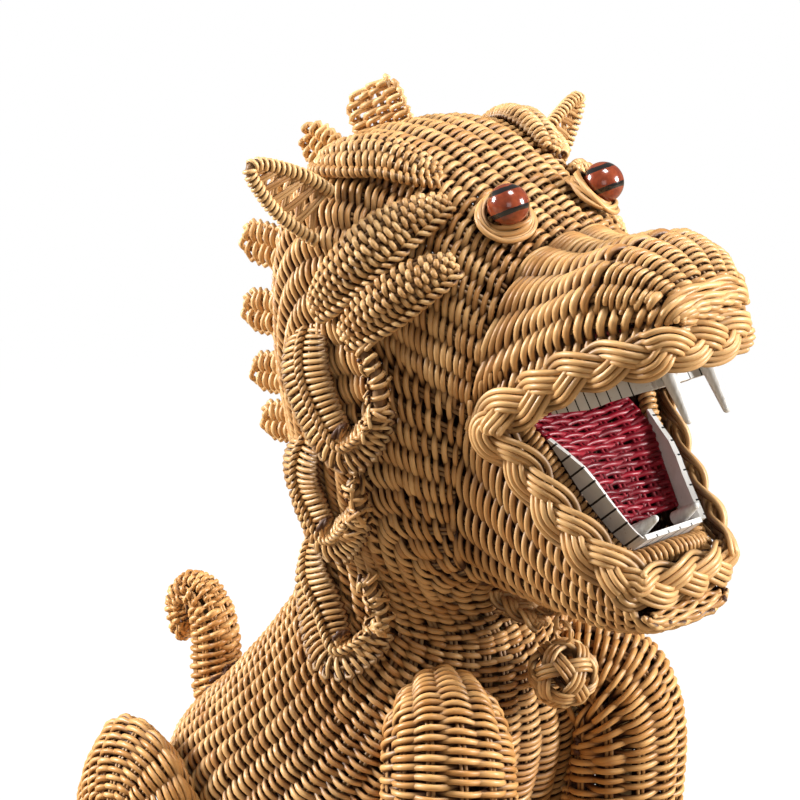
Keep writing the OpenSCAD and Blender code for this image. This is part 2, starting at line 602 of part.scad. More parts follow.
module front_board(path, up) {
    b = board_foot(path, board_s1, up);
    w = b[0] - board_t / 2 - seat;
    tall = board_up(path, up);
    color("White") frame([0, b[1], b[2]], [1, 0, 0], cross(tall, [1, 0, 0]), tall)
        translate([-w, -board_t / 2, 0]) cube([2 * w, board_t, board_h]);
}
module upper_board_right() { side_board(UPPER_LIP, -1, -1); }
module upper_board_left() { side_board(UPPER_LIP, 1, -1); }
module upper_board_front() { front_board(UPPER_LIP, -1); }
module lower_board_right() { side_board(LOWER_LIP, -1, 1); }
module lower_board_left() { side_board(LOWER_LIP, 1, 1); }
module lower_board_front() { front_board(LOWER_LIP, 1); }
module fang(l) {
    cylinder(d1 = fang_d, d2 = 0.45 * fang_d, h = l - 0.22 * fang_d);
    translate([0, 0, l - 0.22 * fang_d]) sphere(d = 0.45 * fang_d);
}
// a fang stands before the front board (ahead = 1) or behind it (ahead = -1), near each end
module fangs(path, up, l, ahead) {
    b = board_foot(path, board_s1, up);
    tall = board_up(path, up);
    fore = [0, -abs(tall[2]), tall[1] * (tall[2] > 0 ? 1 : -1)];
    fang_gap = fang_d / 2 + board_t / 2 + seat;
    fang_up = 2.5;
    for (side = [-1, 1]) on_side(side) color("Ivory")
        stand(b - [fang_gap + 1, 0, 0] + fore * ahead * fang_gap + tall * fang_up, tall) fang(l - fang_up);
}
module upper_fangs() { fangs(UPPER_LIP, -1, upper_fang, 1); }
module lower_fangs() { fangs(LOWER_LIP, 1, lower_fang, -1); }
// dyed woven panel that lines the mouth from the palate down to the feet of the lower boards
panel_t = 4;
function floor_row(t) =
    let (p = mix(board_foot(LOWER_LIP, board_s0, 1), board_foot(LOWER_LIP, board_s1, 1), t))
    [p[1], p[2] + 1, p[0] - board_t / 2 - seat - 0.4];
PANEL = [concat(corner + [-34, 30], [28]), concat(corner + [-18, 20], [33]),
         concat(corner + [-10, 6], [floor_row(0)[2]]), floor_row(0.12), floor_row(0.5), floor_row(0.8)];
module throat_panel() {
    m = 12;
    n = 8;
    rows = [for (i = [0 : m])
        let (s = 5 * i / m,
             p = at(PANEL, s),
             t = unit(at(PANEL, min(s + 0.1, 5)) - at(PANEL, max(s - 0.1, 0))),
             o = unit([-t[1], t[0]]))
        concat([for (j = [0 : n]) let (v = 2 * j / n - 1)
                    [p[2] * v, p[0] - o[0] * 4 * v * v, p[1] - o[1] * 4 * v * v]],
               [for (j = [n : -1 : 0]) let (v = 2 * j / n - 1)
                    [p[2] * v, p[0] - o[0] * (4 * v * v - panel_t), p[1] - o[1] * (4 * v * v - panel_t)]])];
    color("MediumVioletRed") loft(rows, arched = true);
}

// eyes: bead on a peg in a ring of reed
eye_s = 0.55;
eye_a = 21;
eye_p = skin_point(HEAD, eye_s, eye_a);
eye_o = skin_out(HEAD, eye_s, eye_a);
bead_r = bead_d / 2;
bead_up = bead_r + seat;
ring_r = sqrt(pow(bead_r + ring_d / 2 + seat, 2) - pow(bead_up - ring_d / 2 - seat, 2));
module bead(side) {
    on_side(side) color("Maroon") stand(eye_p, eye_o) difference() {
        translate([0, 0, bead_up]) sphere(d = bead_d);
        translate([0, 0, bead_up - bead_d]) cylinder(d = peg_d + 2 * peg_fit, h = bead_d + 4, $fn = 24);
    }
}
module eye_bead_right() { bead(-1); }
module eye_bead_left() { bead(1); }
module eye_pegs() {
    color("Peru") for (side = [-1, 1]) on_side(side) stand(eye_p, eye_o)
        translate([0, 0, -skin_t - 4]) cylinder(d = peg_d, h = bead_up + skin_t + 7, $fn = 24);
}
module eye_ring(side) {
    on_side(side) color("Tan") stand(eye_p, eye_o)
        translate([0, 0, ring_d / 2 + seat])
            rotate_extrude() translate([ring_r, 0]) circle(d = ring_d, $fn = 20);
}
module eye_ring_right() { eye_ring(-1); }
module eye_ring_left() { eye_ring(1); }

// ears: wrapped hoop with a laced web
ear_at = eye(76, -11);
ear_root = side_point(HEAD, ear_at);
ear_out = unit([0.78, 0.19, 0.59]);
ear_across = unit([-0.3, -0.1, 1] - ear_out * (ear_out * [-0.3, -0.1, 1]));
ear_path = trail([side_point(HEAD, ear_at + [0, ear_w / 2], 0.2 * ear_d + seat),
                  ear_root + ear_out * 0.45 * ear_len + ear_across * 0.5 * ear_w,
                  ear_root + ear_out * 0.86 * ear_len + ear_across * 0.24 * ear_w,
                  ear_root + ear_out * ear_len,
                  ear_root + ear_out * 0.86 * ear_len - ear_across * 0.24 * ear_w,
                  ear_root + ear_out * 0.45 * ear_len - ear_across * 0.5 * ear_w,
                  side_point(HEAD, ear_at - [0, ear_w / 2], 0.2 * ear_d + seat)], 20);
module ear_hoop(side) {
    on_side(side) color("Wheat")
        loft(tube(ear_path, [for (p = ear_path) ear_d / 2], cross(ear_out, ear_across), 8));
}
module ear_hoop_right() { ear_hoop(-1); }
module ear_hoop_left() { ear_hoop(1); }
module ear_web(side) {
    r = ear_d / 2 + 2 * seat;
    l = ear_len - ear_d;
    on_side(side) color("Tan") frame(ear_root, ear_across, cross(ear_out, ear_across), ear_out)
        rotate([90, 0, 0]) translate([0, 0, -1]) linear_extrude(2)
            polygon([[-ear_w / 2 + r + 1, 8], [ear_w / 2 - r - 1, 8], [0.5 * ear_w - r - 0.5, 0.45 * ear_len],
                     [2, l - 2], [-2, l - 2], [-0.5 * ear_w + r + 0.5, 0.45 * ear_len]]);
}
module ear_web_right() { ear_web(-1); }
module ear_web_left() { ear_web(1); }

// brow and cheek lobes: ridged leaves that lie on the head
function leaf_rings(list, path, half, h, m, n, lift) =
    [for (i = [0 : m])
        let (u = i / m,
             q = at(path, (len(path) - 1) * u),
             q1 = at(path, (len(path) - 1) * min(u + 0.02, 1)),
             q0 = at(path, (len(path) - 1) * max(u - 0.02, 0)),
             c = side_point(list, q, lift),
             o = side_out(list, q),
             t = unit(side_point(list, q1) - side_point(list, q0)),
             b = cross(o, t),
             f = max(0.22, pow(sin(180 * mix(0.03, 0.97, u)), 0.6)))
        concat([for (j = [0 : n]) let (v = 2 * j / n - 1) c + b * half * f * v],
               [for (j = [n : -1 : 0]) let (v = 2 * j / n - 1)
                   c + b * half * f * v + o * max(1.5, h * f * sqrt(max(0, 1 - 0.93 * v * v)))])];
module leaf(side, path, half, h) {
    on_side(side) color("Wheat") loft(leaf_rings(TRUNK, path, half, h, 11, 6, seat));
}
BROW = [eye(97, 9), eye(77, 13), eye(58, 14), eye(36, 8)];
CHEEK_1 = [eye(76, -53), eye(57, -30), eye(42, -13), eye(27, 0)];
CHEEK_2 = [eye(59, -63), eye(43, -47), eye(28, -34), eye(11, -23)];
module brow_lobe_right() { leaf(-1, BROW, 13, lobe_h - 2); }
module brow_lobe_left() { leaf(1, BROW, 13, lobe_h - 2); }
module cheek_lobes_right() { leaf(-1, CHEEK_1, 11, lobe_h); leaf(-1, CHEEK_2, 10, lobe_h - 1); }
module cheek_lobes_left() { leaf(1, CHEEK_1, 11, lobe_h); leaf(1, CHEEK_2, 10, lobe_h - 1); }

// mane curls: hooked strips that lie on the neck, one below the other
function strip_rings(list, path, half, h, m, lift) =
    [for (i = [0 : m])
        let (u = i / m,
             q = at(path, (len(path) - 1) * u),
             q1 = at(path, (len(path) - 1) * min(u + 0.02, 1)),
             q0 = at(path, (len(path) - 1) * max(u - 0.02, 0)),
             c = side_point(list, q, lift + h / 2),
             o = side_out(list, q),
             t = unit(side_point(list, q1) - side_point(list, q0)),
             b = cross(o, t),
             f = mix(1, 0.3, pow(u, 1.6)))
        [for (j = [0 : 9]) c + b * half * f * bow(cos(36 * j), 3) + o * h / 2 * bow(sin(36 * j), 3)]];
module curl(side, path) {
    on_side(side) color("Wheat") loft(strip_rings(TRUNK, path, curl_w / 2, curl_t, 15, 2 * seat));
}
CURL_1 = [eye(86, -62), eye(75, -92), eye(57, -114), eye(41, -102), eye(38, -80), eye(47, -64)];
CURL_2 = [eye(92, -116), eye(88, -143), eye(74, -163), eye(58, -152), eye(51, -139), eye(54, -128)];
CURL_3 = [eye(103, -170), eye(90, -199), eye(71, -221), eye(57, -213), eye(53, -195), eye(58, -178)];
module curls(side) {
    curl(side, CURL_1);
    curl(side, CURL_2);
    curl(side, CURL_3);
}
module mane_curls_right() { curls(-1); }
module mane_curls_left() { curls(1); }

// crest: upright tabs along the middle of the crown and nape
// station, length and width of each tab
TABS = [[3.35, 21, 1.8 * tab_w], [4.2, 0.52 * tab_len, tab_w + 2], [4.75, 0.76 * tab_len, tab_w],
        [5.2, tab_len, tab_w], [5.75, tab_len, tab_w], [6.28, 0.94 * tab_len, tab_w - 2],
        [6.75, 0.88 * tab_len, tab_w - 2]];
// outline of a tab whose foot follows the crest
function tab_line(s, l, w) =
    let (p = skin_point(HEAD, s, 0),
         o = skin_out(HEAD, s, 0),
         x = cross([1, 0, 0], o),
         run = (skin_point(HEAD, s + 0.1, 0) - skin_point(HEAD, s - 0.1, 0)) * x / 0.2,
         r = min(w / 2, 12))
    concat([for (k = [-3 : 3])
               let (q = skin_point(HEAD, s + k / 6 * (w - 4) / run, 0) - p)
               [q * x, q * o + seat]],
           [for (a = [0 : 15 : 90]) [w / 2 - r + r * cos(a), l - r + r * sin(a)]],
           [for (a = [90 : 15 : 180]) [r - w / 2 + r * cos(a), l - r + r * sin(a)]]);
module crest_tabs() {
    color("Wheat") for (t = TABS) {
        o = skin_out(HEAD, t[0], 0);
        frame(skin_point(HEAD, t[0], 0), cross([1, 0, 0], o), [1, 0, 0], o)
            rotate([90, 0, 0]) translate([0, 0, -tab_t / 2]) linear_extrude(tab_t)
                polygon(tab_line(t[0], t[1], t[2]));
    }
}

// bell: open-work ball whose ring hangs in the eye of a plaited stem under the chin
bell_y = -8 - eye_fwd;
bell_z = eye_h - throat_drop - 9.5;
step = link_w - link_d - link_gap;
module link_ring() { rotate_extrude() translate([link_w / 2, 0]) circle(d = link_d, $fn = 20); }
module bell_loop() {
    foot = inside(HEAD, 6.2, false, -0.04 * stem_d - seat);
    tip = [0, bell_y, bell_z + link_w / 2];
    color("Wheat") {
        translate([0, bell_y, bell_z]) rotate([90, 0, 0]) link_ring();
        stand(foot, unit(tip - foot)) cylinder(d = stem_d, h = norm(tip - foot), $fn = 32);
    }
}
module bell_ball() {
    color("Wheat") translate([0, bell_y, bell_z - step]) {
        rotate([0, 90, 0]) link_ring();
        translate([0, 0, -link_w / 2 - ball_d / 2 + link_d / 4]) difference() {
            sphere(d = ball_d);
            sphere(d = ball_d - 2 * ball_wall);
            for (a = [45, 135])
                rotate([90, 0, a]) cylinder(d = hole_d, h = 2 * ball_d, center = true, $fn = 24);
        }
    }
}

base_board();
spine_cane();
breast_cane();
muzzle_cane();
jaw_cane();
hip_hoop();
shoulder_hoop();
neck_hoop();
leg_cane_right();
leg_cane_left();
tail_core();
frame_nails();
body_skin();
head_skin();
muzzle_skin();
jaw_skin();
foreleg_right();
foreleg_left();
forepaw_right();
forepaw_left();
haunch_right();
haunch_left();
hindpaw_right();
hindpaw_left();
tail_skin();
upper_lip();
lower_lip();
upper_rim();
lower_rim();
upper_board_right();
upper_board_left();
upper_board_front();
lower_board_right();
lower_board_left();
lower_board_front();
upper_fangs();
lower_fangs();
throat_panel();
eye_bead_right();
eye_bead_left();
eye_pegs();
eye_ring_right();
eye_ring_left();
ear_hoop_right();
ear_hoop_left();
ear_web_right();
ear_web_left();
brow_lobe_right();
brow_lobe_left();
cheek_lobes_right();
cheek_lobes_left();
mane_curls_right();
mane_curls_left();
crest_tabs();
bell_loop();
bell_ball();
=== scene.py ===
import math

import bmesh
import bpy
import numpy as np
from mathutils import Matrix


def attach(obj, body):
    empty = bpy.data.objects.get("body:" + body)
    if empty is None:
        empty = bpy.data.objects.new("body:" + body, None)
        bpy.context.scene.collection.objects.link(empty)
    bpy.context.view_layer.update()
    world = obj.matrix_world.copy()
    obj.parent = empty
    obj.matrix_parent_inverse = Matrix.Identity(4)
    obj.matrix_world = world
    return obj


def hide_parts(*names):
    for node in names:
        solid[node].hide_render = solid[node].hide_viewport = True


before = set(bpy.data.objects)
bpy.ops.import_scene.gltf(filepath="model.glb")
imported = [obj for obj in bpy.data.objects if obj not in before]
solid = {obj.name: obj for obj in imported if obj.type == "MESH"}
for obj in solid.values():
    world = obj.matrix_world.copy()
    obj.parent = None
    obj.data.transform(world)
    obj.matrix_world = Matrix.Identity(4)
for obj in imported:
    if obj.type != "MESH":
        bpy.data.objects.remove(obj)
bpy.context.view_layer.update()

# View and studio: a long lens a little above the statue, off its right front shoulder.
# A pale floor runs back out of sight, and large soft lamps stand above and on both sides.
scene = bpy.context.scene
scene.view_settings.view_transform = "Standard"
long_lens = bpy.data.cameras.new("long_lens")
long_lens.lens = 170
long_lens.sensor_width = 36
long_lens.clip_end = 50
viewer = bpy.data.objects.new("viewer", long_lens)
viewer.location = (-1.2230, -1.2069, 0.7753)
viewer.rotation_euler = (math.radians(74), 0, math.radians(-45))
scene.collection.objects.link(viewer)
scene.camera = viewer


class Wire:
    """A socket whose operators add Math nodes, and whose node() adds any other node.

    Inputs of a node go by name, or by number as i0, i1 and so on.
    """

    def __init__(self, tree, socket=None):
        self.tree = tree
        self.socket = socket

    def node(self, kind, settings=None, out=0, **inputs):
        made = self.tree.nodes.new(kind)
        for name, value in (settings or {}).items():
            setattr(made, name, value)
        for name, value in inputs.items():
            key = int(name[1:]) if name[1:].isdigit() else name
            if isinstance(value, Wire):
                self.tree.links.new(value.socket, made.inputs[key])
            else:
                made.inputs[key].default_value = value
        return Wire(self.tree, made.outputs[out])

    def combine(self, operation, a, b):
        return self.node("ShaderNodeMath", {"operation": operation}, i0=a, i1=b)

    def __add__(self, other):
        return self.combine("ADD", self, other)

    def __sub__(self, other):
        return self.combine("SUBTRACT", self, other)

    def __mul__(self, other):
        return self.combine("MULTIPLY", self, other)

    def __truediv__(self, other):
        return self.combine("DIVIDE", self, other)

    def __lt__(self, other):
        return self.combine("LESS_THAN", self, other)

    def __gt__(self, other):
        return self.combine("GREATER_THAN", self, other)

    def size(self):
        return self.combine("ABSOLUTE", self, 0.0)

    def step(self, low, high):
        return self.node("ShaderNodeMapRange", {"interpolation_type": "SMOOTHSTEP"}, i0=self, i1=low, i2=high)

    def blend(self, a, b):
        return self.node("ShaderNodeMix", {"data_type": "RGBA"}, out=2, i0=self, i6=a, i7=b)

    def spot(self):
        return self.node("ShaderNodeTexCoord", out=3)

    def along(self, way):
        return self.node("ShaderNodeVectorMath", {"operation": "DOT_PRODUCT"}, out=1, i0=self, i1=tuple(way))

    def stretched(self, *scale):
        return self.node("ShaderNodeMapping", Vector=self, Scale=scale)

    def noise(self, scale, detail, **more):
        return self.node("ShaderNodeTexNoise", Vector=self, Scale=scale, Detail=detail, **more)

    def bump(self, strength, distance):
        self.node("ShaderNodeBump", Strength=strength, Distance=distance, Height=self).into("Normal")

    def into(self, name, node_name="Principled BSDF"):
        self.tree.links.new(self.socket, self.tree.nodes[node_name].inputs[name])


def finish_of(name):
    """A new material, the sockets of its shader, and a wire to add nodes with."""
    material = bpy.data.materials.new(name)
    material.use_nodes = True
    return material, material.node_tree.nodes["Principled BSDF"].inputs, Wire(material.node_tree)


room = bpy.data.worlds.new("room")
room.use_nodes = True
scene.world = room
air = Wire(room.node_tree)
path = room.node_tree.nodes.new("ShaderNodeLightPath")
seen = Wire(room.node_tree, path.outputs["Is Camera Ray"])
shiny = Wire(room.node_tree, path.outputs["Is Glossy Ray"])
through = Wire(room.node_tree, path.outputs["Is Transmission Ray"])
soft_air = air.node("ShaderNodeBackground", Color=(1.0, 0.72, 0.44, 1), Strength=0.05)
white_air = air.node("ShaderNodeBackground", Color=(1, 1, 1, 1), Strength=1.0)
behind = seen.combine("MAXIMUM", seen.combine("MAXIMUM", seen, shiny * 0.2), through)
both = air.node("ShaderNodeMixShader", i0=behind, i1=soft_air, i2=white_air)
both.into("Surface", "World Output")

floor_mesh = bpy.data.meshes.new("floor")
floor_shape = bmesh.new()
bmesh.ops.create_grid(floor_shape, x_segments=1, y_segments=1, size=9)
floor_shape.to_mesh(floor_mesh)
floor_shape.free()
floor = bpy.data.objects.new("floor", floor_mesh)
scene.collection.objects.link(floor)
floor_paint, floor_sockets, floor_wire = finish_of("floor_paint")
floor_sockets["Roughness"].default_value = 0.9
floor_path = floor_paint.node_tree.nodes.new("ShaderNodeLightPath")
floor_glow = floor_wire.node("ShaderNodeEmission", Color=(1, 1, 1, 1), Strength=1.0)
floor_lit = Wire(floor_paint.node_tree, floor_paint.node_tree.nodes["Principled BSDF"].outputs[0])
floor_seen = Wire(floor_paint.node_tree, floor_path.outputs["Is Camera Ray"])
floor_seen.blend((0.28, 0.22, 0.15, 1), (0.88, 0.88, 0.88, 1)).into("Base Color")
floor_spot = floor_wire.spot()
floor_far = floor_wire.node("ShaderNodeVectorMath", {"operation": "LENGTH"}, out=1, i0=floor_spot)
floor_share = floor_seen * (floor_far.step(0.4, 1.2) * 0.12 + 0.88)
floor_mix = floor_wire.node("ShaderNodeMixShader", i0=floor_share, i1=floor_lit, i2=floor_glow)
floor_mix.into("Surface", "Material Output")
floor_mesh.materials.append(floor_paint)

for lamp_name, place, aim, size, power in (
        ("top_lamp", (0.0, -0.5, 2.2), (0, -0.05, 0.25), 0.6, 34),
        ("right_lamp", (1.5, -1.9, 1.0), (0, 0, 0.25), 0.7, 106),
        ("left_lamp", (-1.5, 1.95, 1.2), (0, 0.02, 0.25), 0.7, 138),
        ("low_lamp", (-1.7, -1.9, 0.9), (0, 0, 0.2), 1.0, 6)):
    lamp = bpy.data.lights.new(lamp_name, "AREA")
    lamp.size = size
    lamp.energy = power
    stand = bpy.data.objects.new(lamp_name, lamp)
    stand.location = place
    turn = np.array(place) - np.array(aim)
    flat = math.hypot(turn[0], turn[1])
    stand.rotation_euler = (math.atan2(flat, turn[2]), 0, math.atan2(turn[0], -turn[1]))
    scene.collection.objects.link(stand)

# Frame: a sawn board on the floor, bent canes up the back and breast, hoops inside the skins.
# The canes are peeled rattan poles, nailed to the board; little of them shows through the weave.


def coat_solid(name, material):
    """Puts the finish on a CAD solid that shows as it is."""
    coats = solid[name].data.materials
    coats.clear()
    coats.append(material)


cane_bark, _, cane = finish_of("cane_bark")
cane_spot = cane.spot()
cane_grain = cane_spot.noise(240.0, 3.0)
cane_patch = cane_spot.noise(22.0, 2.0)
(cane_grain * 0.5 + cane_patch * 0.5).step(0.3, 0.7).blend(
    (0.31, 0.165, 0.062, 1), (0.50, 0.315, 0.14, 1)).into("Base Color")
(cane_patch * 0.25 + 0.4).into("Roughness")
cane_grain.bump(0.3, 0.0005)
for name in ("spine_cane", "breast_cane", "muzzle_cane", "jaw_cane", "hip_hoop", "shoulder_hoop",
             "neck_hoop", "leg_cane_right", "leg_cane_left", "tail_core", "eye_pegs"):
    coat_solid(name, cane_bark)

base_wood, _, base = finish_of("base_wood")
base_rings = base.spot().stretched(90.0, 5.0, 60.0).noise(1.0, 4.0, Distortion=0.6)
base_rings.step(0.3, 0.72).blend((0.36, 0.22, 0.11, 1), (0.60, 0.44, 0.27, 1)).into("Base Color")
(base_rings * 0.2 + 0.55).into("Roughness")
base_rings.bump(0.25, 0.0006)
coat_solid("base_board", base_wood)

nail_steel, nail_in, nail = finish_of("nail_steel")
nail_in["Metallic"].default_value = 1.0
nail_wear = nail.spot().noise(900.0, 2.0)
nail_wear.blend((0.38, 0.36, 0.34, 1), (0.55, 0.54, 0.53, 1)).into("Base Color")
(nail_wear * 0.3 + 0.3).into("Roughness")
coat_solid("frame_nails", nail_steel)

# Body skin: split rattan reed woven over paired stakes that fan out from the neck to the floor.
# Each row is a twined pair: one reed passes outside a stake while its partner passes inside.
# Tables of the side view are in mm from EYE, the place between the eyes (y and z of the statue).
EYE = np.array([-83.0, 395.0])
MM = 0.001
luck = np.random.default_rng(7)


def bow(t, squareness):
    """Sine or cosine of an oval: squareness 2 is round, more is squarer."""
    return np.sign(t) * np.abs(t) ** (2 / squareness)


def between(table, s):
    """Smooth curve through the rows of a table; s counts rows from the first."""
    table = np.asarray(table, float)
    last = len(table) - 1
    i = np.clip(np.floor(s).astype(int), 0, last - 1)
    t = (np.asarray(s) - i)[..., None]
    a, b = table[np.maximum(i - 1, 0)], table[i]
    c, d = table[i + 1], table[np.minimum(i + 2, last)]
    bend, sharp = 2 * a - 5 * b + 4 * c - d, 3 * b - a - 3 * c + d
    return 0.5 * (2 * b + (c - a) * t + bend * t ** 2 + sharp * t ** 3)


def lengths(points):
    """Way along a line at each of its points."""
    steps = np.linalg.norm(np.diff(points, axis=0), axis=1)
    return np.concatenate([[0], np.cumsum(steps)])


def evened(points, count, closed):
    """The same line with its points at even distances."""
    if closed:
        points = np.vstack([points, points[:1]])
    along = lengths(points)
    at = np.linspace(0, along[-1], count + 1)[:count] if closed else np.linspace(0, along[-1], count)
    return np.stack([np.interp(at, along, points[:, k]) for k in range(3)], axis=1)


def section_ring(row, count=96):
    """Ring of a skin from a row: top and low place, half-width, height of the widest part, squareness."""
    top, low = row[0:2], row[2:4]
    half, widest, square = row[4:7]
    a = np.linspace(0, 2 * math.pi, 721)[:-1]
    tall = np.linalg.norm(top - low)
    rise = np.where(np.cos(a) >= 0, 1 - widest, widest) * tall
    q = low + np.outer(widest * tall + rise * bow(np.cos(a), square), (top - low) / tall)
    ring = np.column_stack([half * bow(np.sin(a), square), q + EYE])
    return evened(ring, count, True) * MM


class Skin:
    """Outer face of a woven piece, as rings of points one after another."""

    def __init__(self, rings, closed=True):
        self.grid = np.array(rings, float)
        self.closed = closed
        middle = self.grid.mean(axis=1, keepdims=True)
        self.sign = 1.0
        s, v = np.meshgrid(np.linspace(0.1, 0.9, 7), np.linspace(0.05, 0.95, 9), indexing="ij")
        centre = between(middle[:, 0], s.ravel() * (len(self.grid) - 1))
        facing = ((self.place(s.ravel(), v.ravel()) - centre) * self.out(s.ravel(), v.ravel())).sum()
        self.sign = 1.0 if facing > 0 else -1.0

    def place(self, s, v):
        """Smooth point at the shares s along the rings and v round them."""
        m, n = self.grid.shape[:2]
        fs = np.clip(s, 0, 1) * (m - 1)
        i = np.clip(np.floor(fs).astype(int), 0, m - 2)
        t = fs - i
        if self.closed:
            fv = np.mod(v, 1.0) * n
            j = np.floor(fv).astype(int)
            column = [np.mod(j + k, n) for k in (-1, 0, 1, 2)]
        else:
            fv = np.clip(v, 0, 1) * (n - 1)
            j = np.clip(np.floor(fv).astype(int), 0, n - 2)
            column = [np.clip(j + k, 0, n - 1) for k in (-1, 0, 1, 2)]
        w = fv - j

        def weights(x):
            return (0.5 * (-x + 2 * x ** 2 - x ** 3), 0.5 * (2 - 5 * x ** 2 + 3 * x ** 3),
                    0.5 * (x + 4 * x ** 2 - 3 * x ** 3), 0.5 * (x ** 3 - x ** 2))

        total = 0
        for ki, ws in zip((-1, 0, 1, 2), weights(t)):
            row = np.clip(i + ki, 0, m - 1)
            for cj, wv in zip(column, weights(w)):
                total = total + (ws * wv)[..., None] * self.grid[row, cj]
        return total

    def out(self, s, v):
        """Direction that points out of the skin."""
        e = 0.004
        along = self.place(np.minimum(s + e, 1), v) - self.place(np.maximum(s - e, 0), v)
        if self.closed:
            across = self.place(s, v + e) - self.place(s, v - e)
        else:
            across = self.place(s, np.minimum(v + e, 1)) - self.place(s, np.maximum(v - e, 0))
        n = np.cross(along, across)
        return self.sign * n / np.maximum(np.linalg.norm(n, axis=-1, keepdims=True), 1e-12)

    def lay(self, s, v, depth):
        """Point at a depth under the skin."""
        return self.place(s, v) - self.out(s, v) * np.asarray(depth)[..., None]


class Strands:
    """Reeds gathered for one piece: each a run of points with its thickness, depth and tone."""

    def __init__(self):
        self.runs = []

    def add(self, points, radius, deep, tone=None, out=None):
        """One reed in metres; deep is 0 on the face of the work and 1 at its back and sets how much painted
        shade it takes, and out is the side that stays free of painted shade.
        """
        points = np.asarray(points, float)
        count = len(points)
        if count < 2:
            return
        tone = luck.uniform(0.1, 0.9) if tone is None else tone
        out = np.zeros((count, 3)) if out is None else np.asarray(out)
        radius, deep = np.broadcast_to(radius, count), np.broadcast_to(deep, count)
        nose, tail = points[0] - points[1], points[-1] - points[-2]
        nose, tail = nose / max(np.linalg.norm(nose), 1e-9), tail / max(np.linalg.norm(tail), 1e-9)
        first, last = points[:1] + nose * radius[0] * 0.5, points[-1:] + tail * radius[-1] * 0.5
        points = np.vstack([first, points, last])
        radius = np.concatenate([radius[:1] * 0.3, radius, radius[-1:] * 0.3])
        deep = np.concatenate([deep[:1], deep, deep[-1:]])
        out = np.vstack([out[:1], out, out[-1:]])
        self.runs.append((points, radius, deep, tone, out))

    def piece(self, name, material, body, slot, *nodes):
        """One mesh of six-sided tubes, each point marked with its reed's tone, its painted shade from depth
        and from facing inward, and its fibres.
        """
        drawn = bpy.data.curves.new(name, "CURVE")
        drawn.dimensions = "3D"
        drawn.bevel_depth = 1.0
        drawn.bevel_resolution = 1
        for points, radius, *_ in self.runs:
            run = drawn.splines.new("POLY")
            run.points.add(len(points) - 1)
            run.points.foreach_set("co", np.column_stack([points, np.ones(len(points))]).ravel())
            run.points.foreach_set("radius", np.ascontiguousarray(radius, dtype=np.float32))
            run.use_smooth = True
        bare = bpy.data.objects.new(name + "_lines", drawn)
        mesh = bpy.data.meshes.new_from_object(bare)
        bpy.data.objects.remove(bare)
        bpy.data.curves.remove(drawn)
        mesh.name = name
        sides = 6
        marks, fibres = [], []
        ring = np.arange(sides) * 2 * math.pi / sides
        tube = np.zeros(len(mesh.vertices) * 3, np.float32)
        mesh.vertices.foreach_get("co", tube)
        tube, start = tube.reshape(-1, sides, 3), 0
        for points, radius, deep, tone, out in self.runs:
            seed = luck.uniform(0, 1)
            away = (tube[start:start + len(points)] - points[:, None]) / np.asarray(radius)[:, None, None]
            facing = (away * np.asarray(out)[:, None]).sum(axis=2)
            start += len(points)
            mark = np.ones((len(points), sides, 4), np.float32)
            mark[..., 0] = tone
            # Painted shade: the sides and undersides of a reed, facing away from its out direction, are
            # marked darker, and so are reeds deep in the work.
            underside_shade = np.clip(0.4 * np.linalg.norm(out, axis=1)[:, None] - facing, 0, 1)
            mark[..., 1] = np.clip(np.asarray(deep)[:, None] * 0.9 + 1.2 * underside_shade, 0, 1)
            mark[..., 2] = seed
            marks.append(mark.reshape(-1, 4))
            fibre = np.zeros((len(points), sides, 3), np.float32)
            fibre[..., 0] = np.asarray(radius)[:, None] * np.cos(ring) + seed * 3
            fibre[..., 1] = np.asarray(radius)[:, None] * np.sin(ring)
            fibre[..., 2] = lengths(points)[:, None] + seed * 7
            fibres.append(fibre.reshape(-1, 3))
        marks, fibres = np.concatenate(marks).ravel(), np.concatenate(fibres).ravel()
        mesh.color_attributes.new("strand", "FLOAT_COLOR", "POINT").data.foreach_set("color", marks)
        mesh.attributes.new("fibre", "FLOAT_VECTOR", "POINT").data.foreach_set("vector", fibres)
        self.unwrap(mesh, sides)
        mesh.materials.append(material)
        made = bpy.data.objects.new(name, mesh)
        scene.collection.objects.link(made)
        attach(made, body)
        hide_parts(*nodes)

    def unwrap(self, mesh, sides):
        """Lays each reed flat as a strip of its own."""
        corner = np.zeros(len(mesh.loops), np.int32)
        mesh.loops.foreach_get("vertex_index", corner)
        ways = [lengths(points) for points, *_ in self.runs]
        u = np.concatenate([np.repeat(way / max(way[-1], 1e-9), sides) for way in ways])
        band = np.concatenate([np.full(len(way) * sides, k) for k, way in enumerate(ways)])
        side = (np.arange(len(u)) % sides)[corner].reshape(-1, 4)
        seam = (side.max(axis=1) - side.min(axis=1)) == sides - 1
        side = np.where(seam[:, None] & (side == 0), sides, side).ravel()
        v = (band[corner] + 0.08 + 0.84 * side / sides) / len(self.runs)
        while mesh.uv_layers:
            mesh.uv_layers.remove(mesh.uv_layers[0])
        mesh.uv_layers.new(name="OFBake").data.foreach_set(
            "uv", np.column_stack([u[corner], v]).astype(np.float32).ravel())


def waver(count, reach, size):
    """A slow random wander, with a new direction every few points."""
    knots = luck.normal(0, size, max(3, int(count / reach) + 2))
    return np.interp(np.linspace(0, len(knots) - 1, count), np.arange(len(knots)), knots)


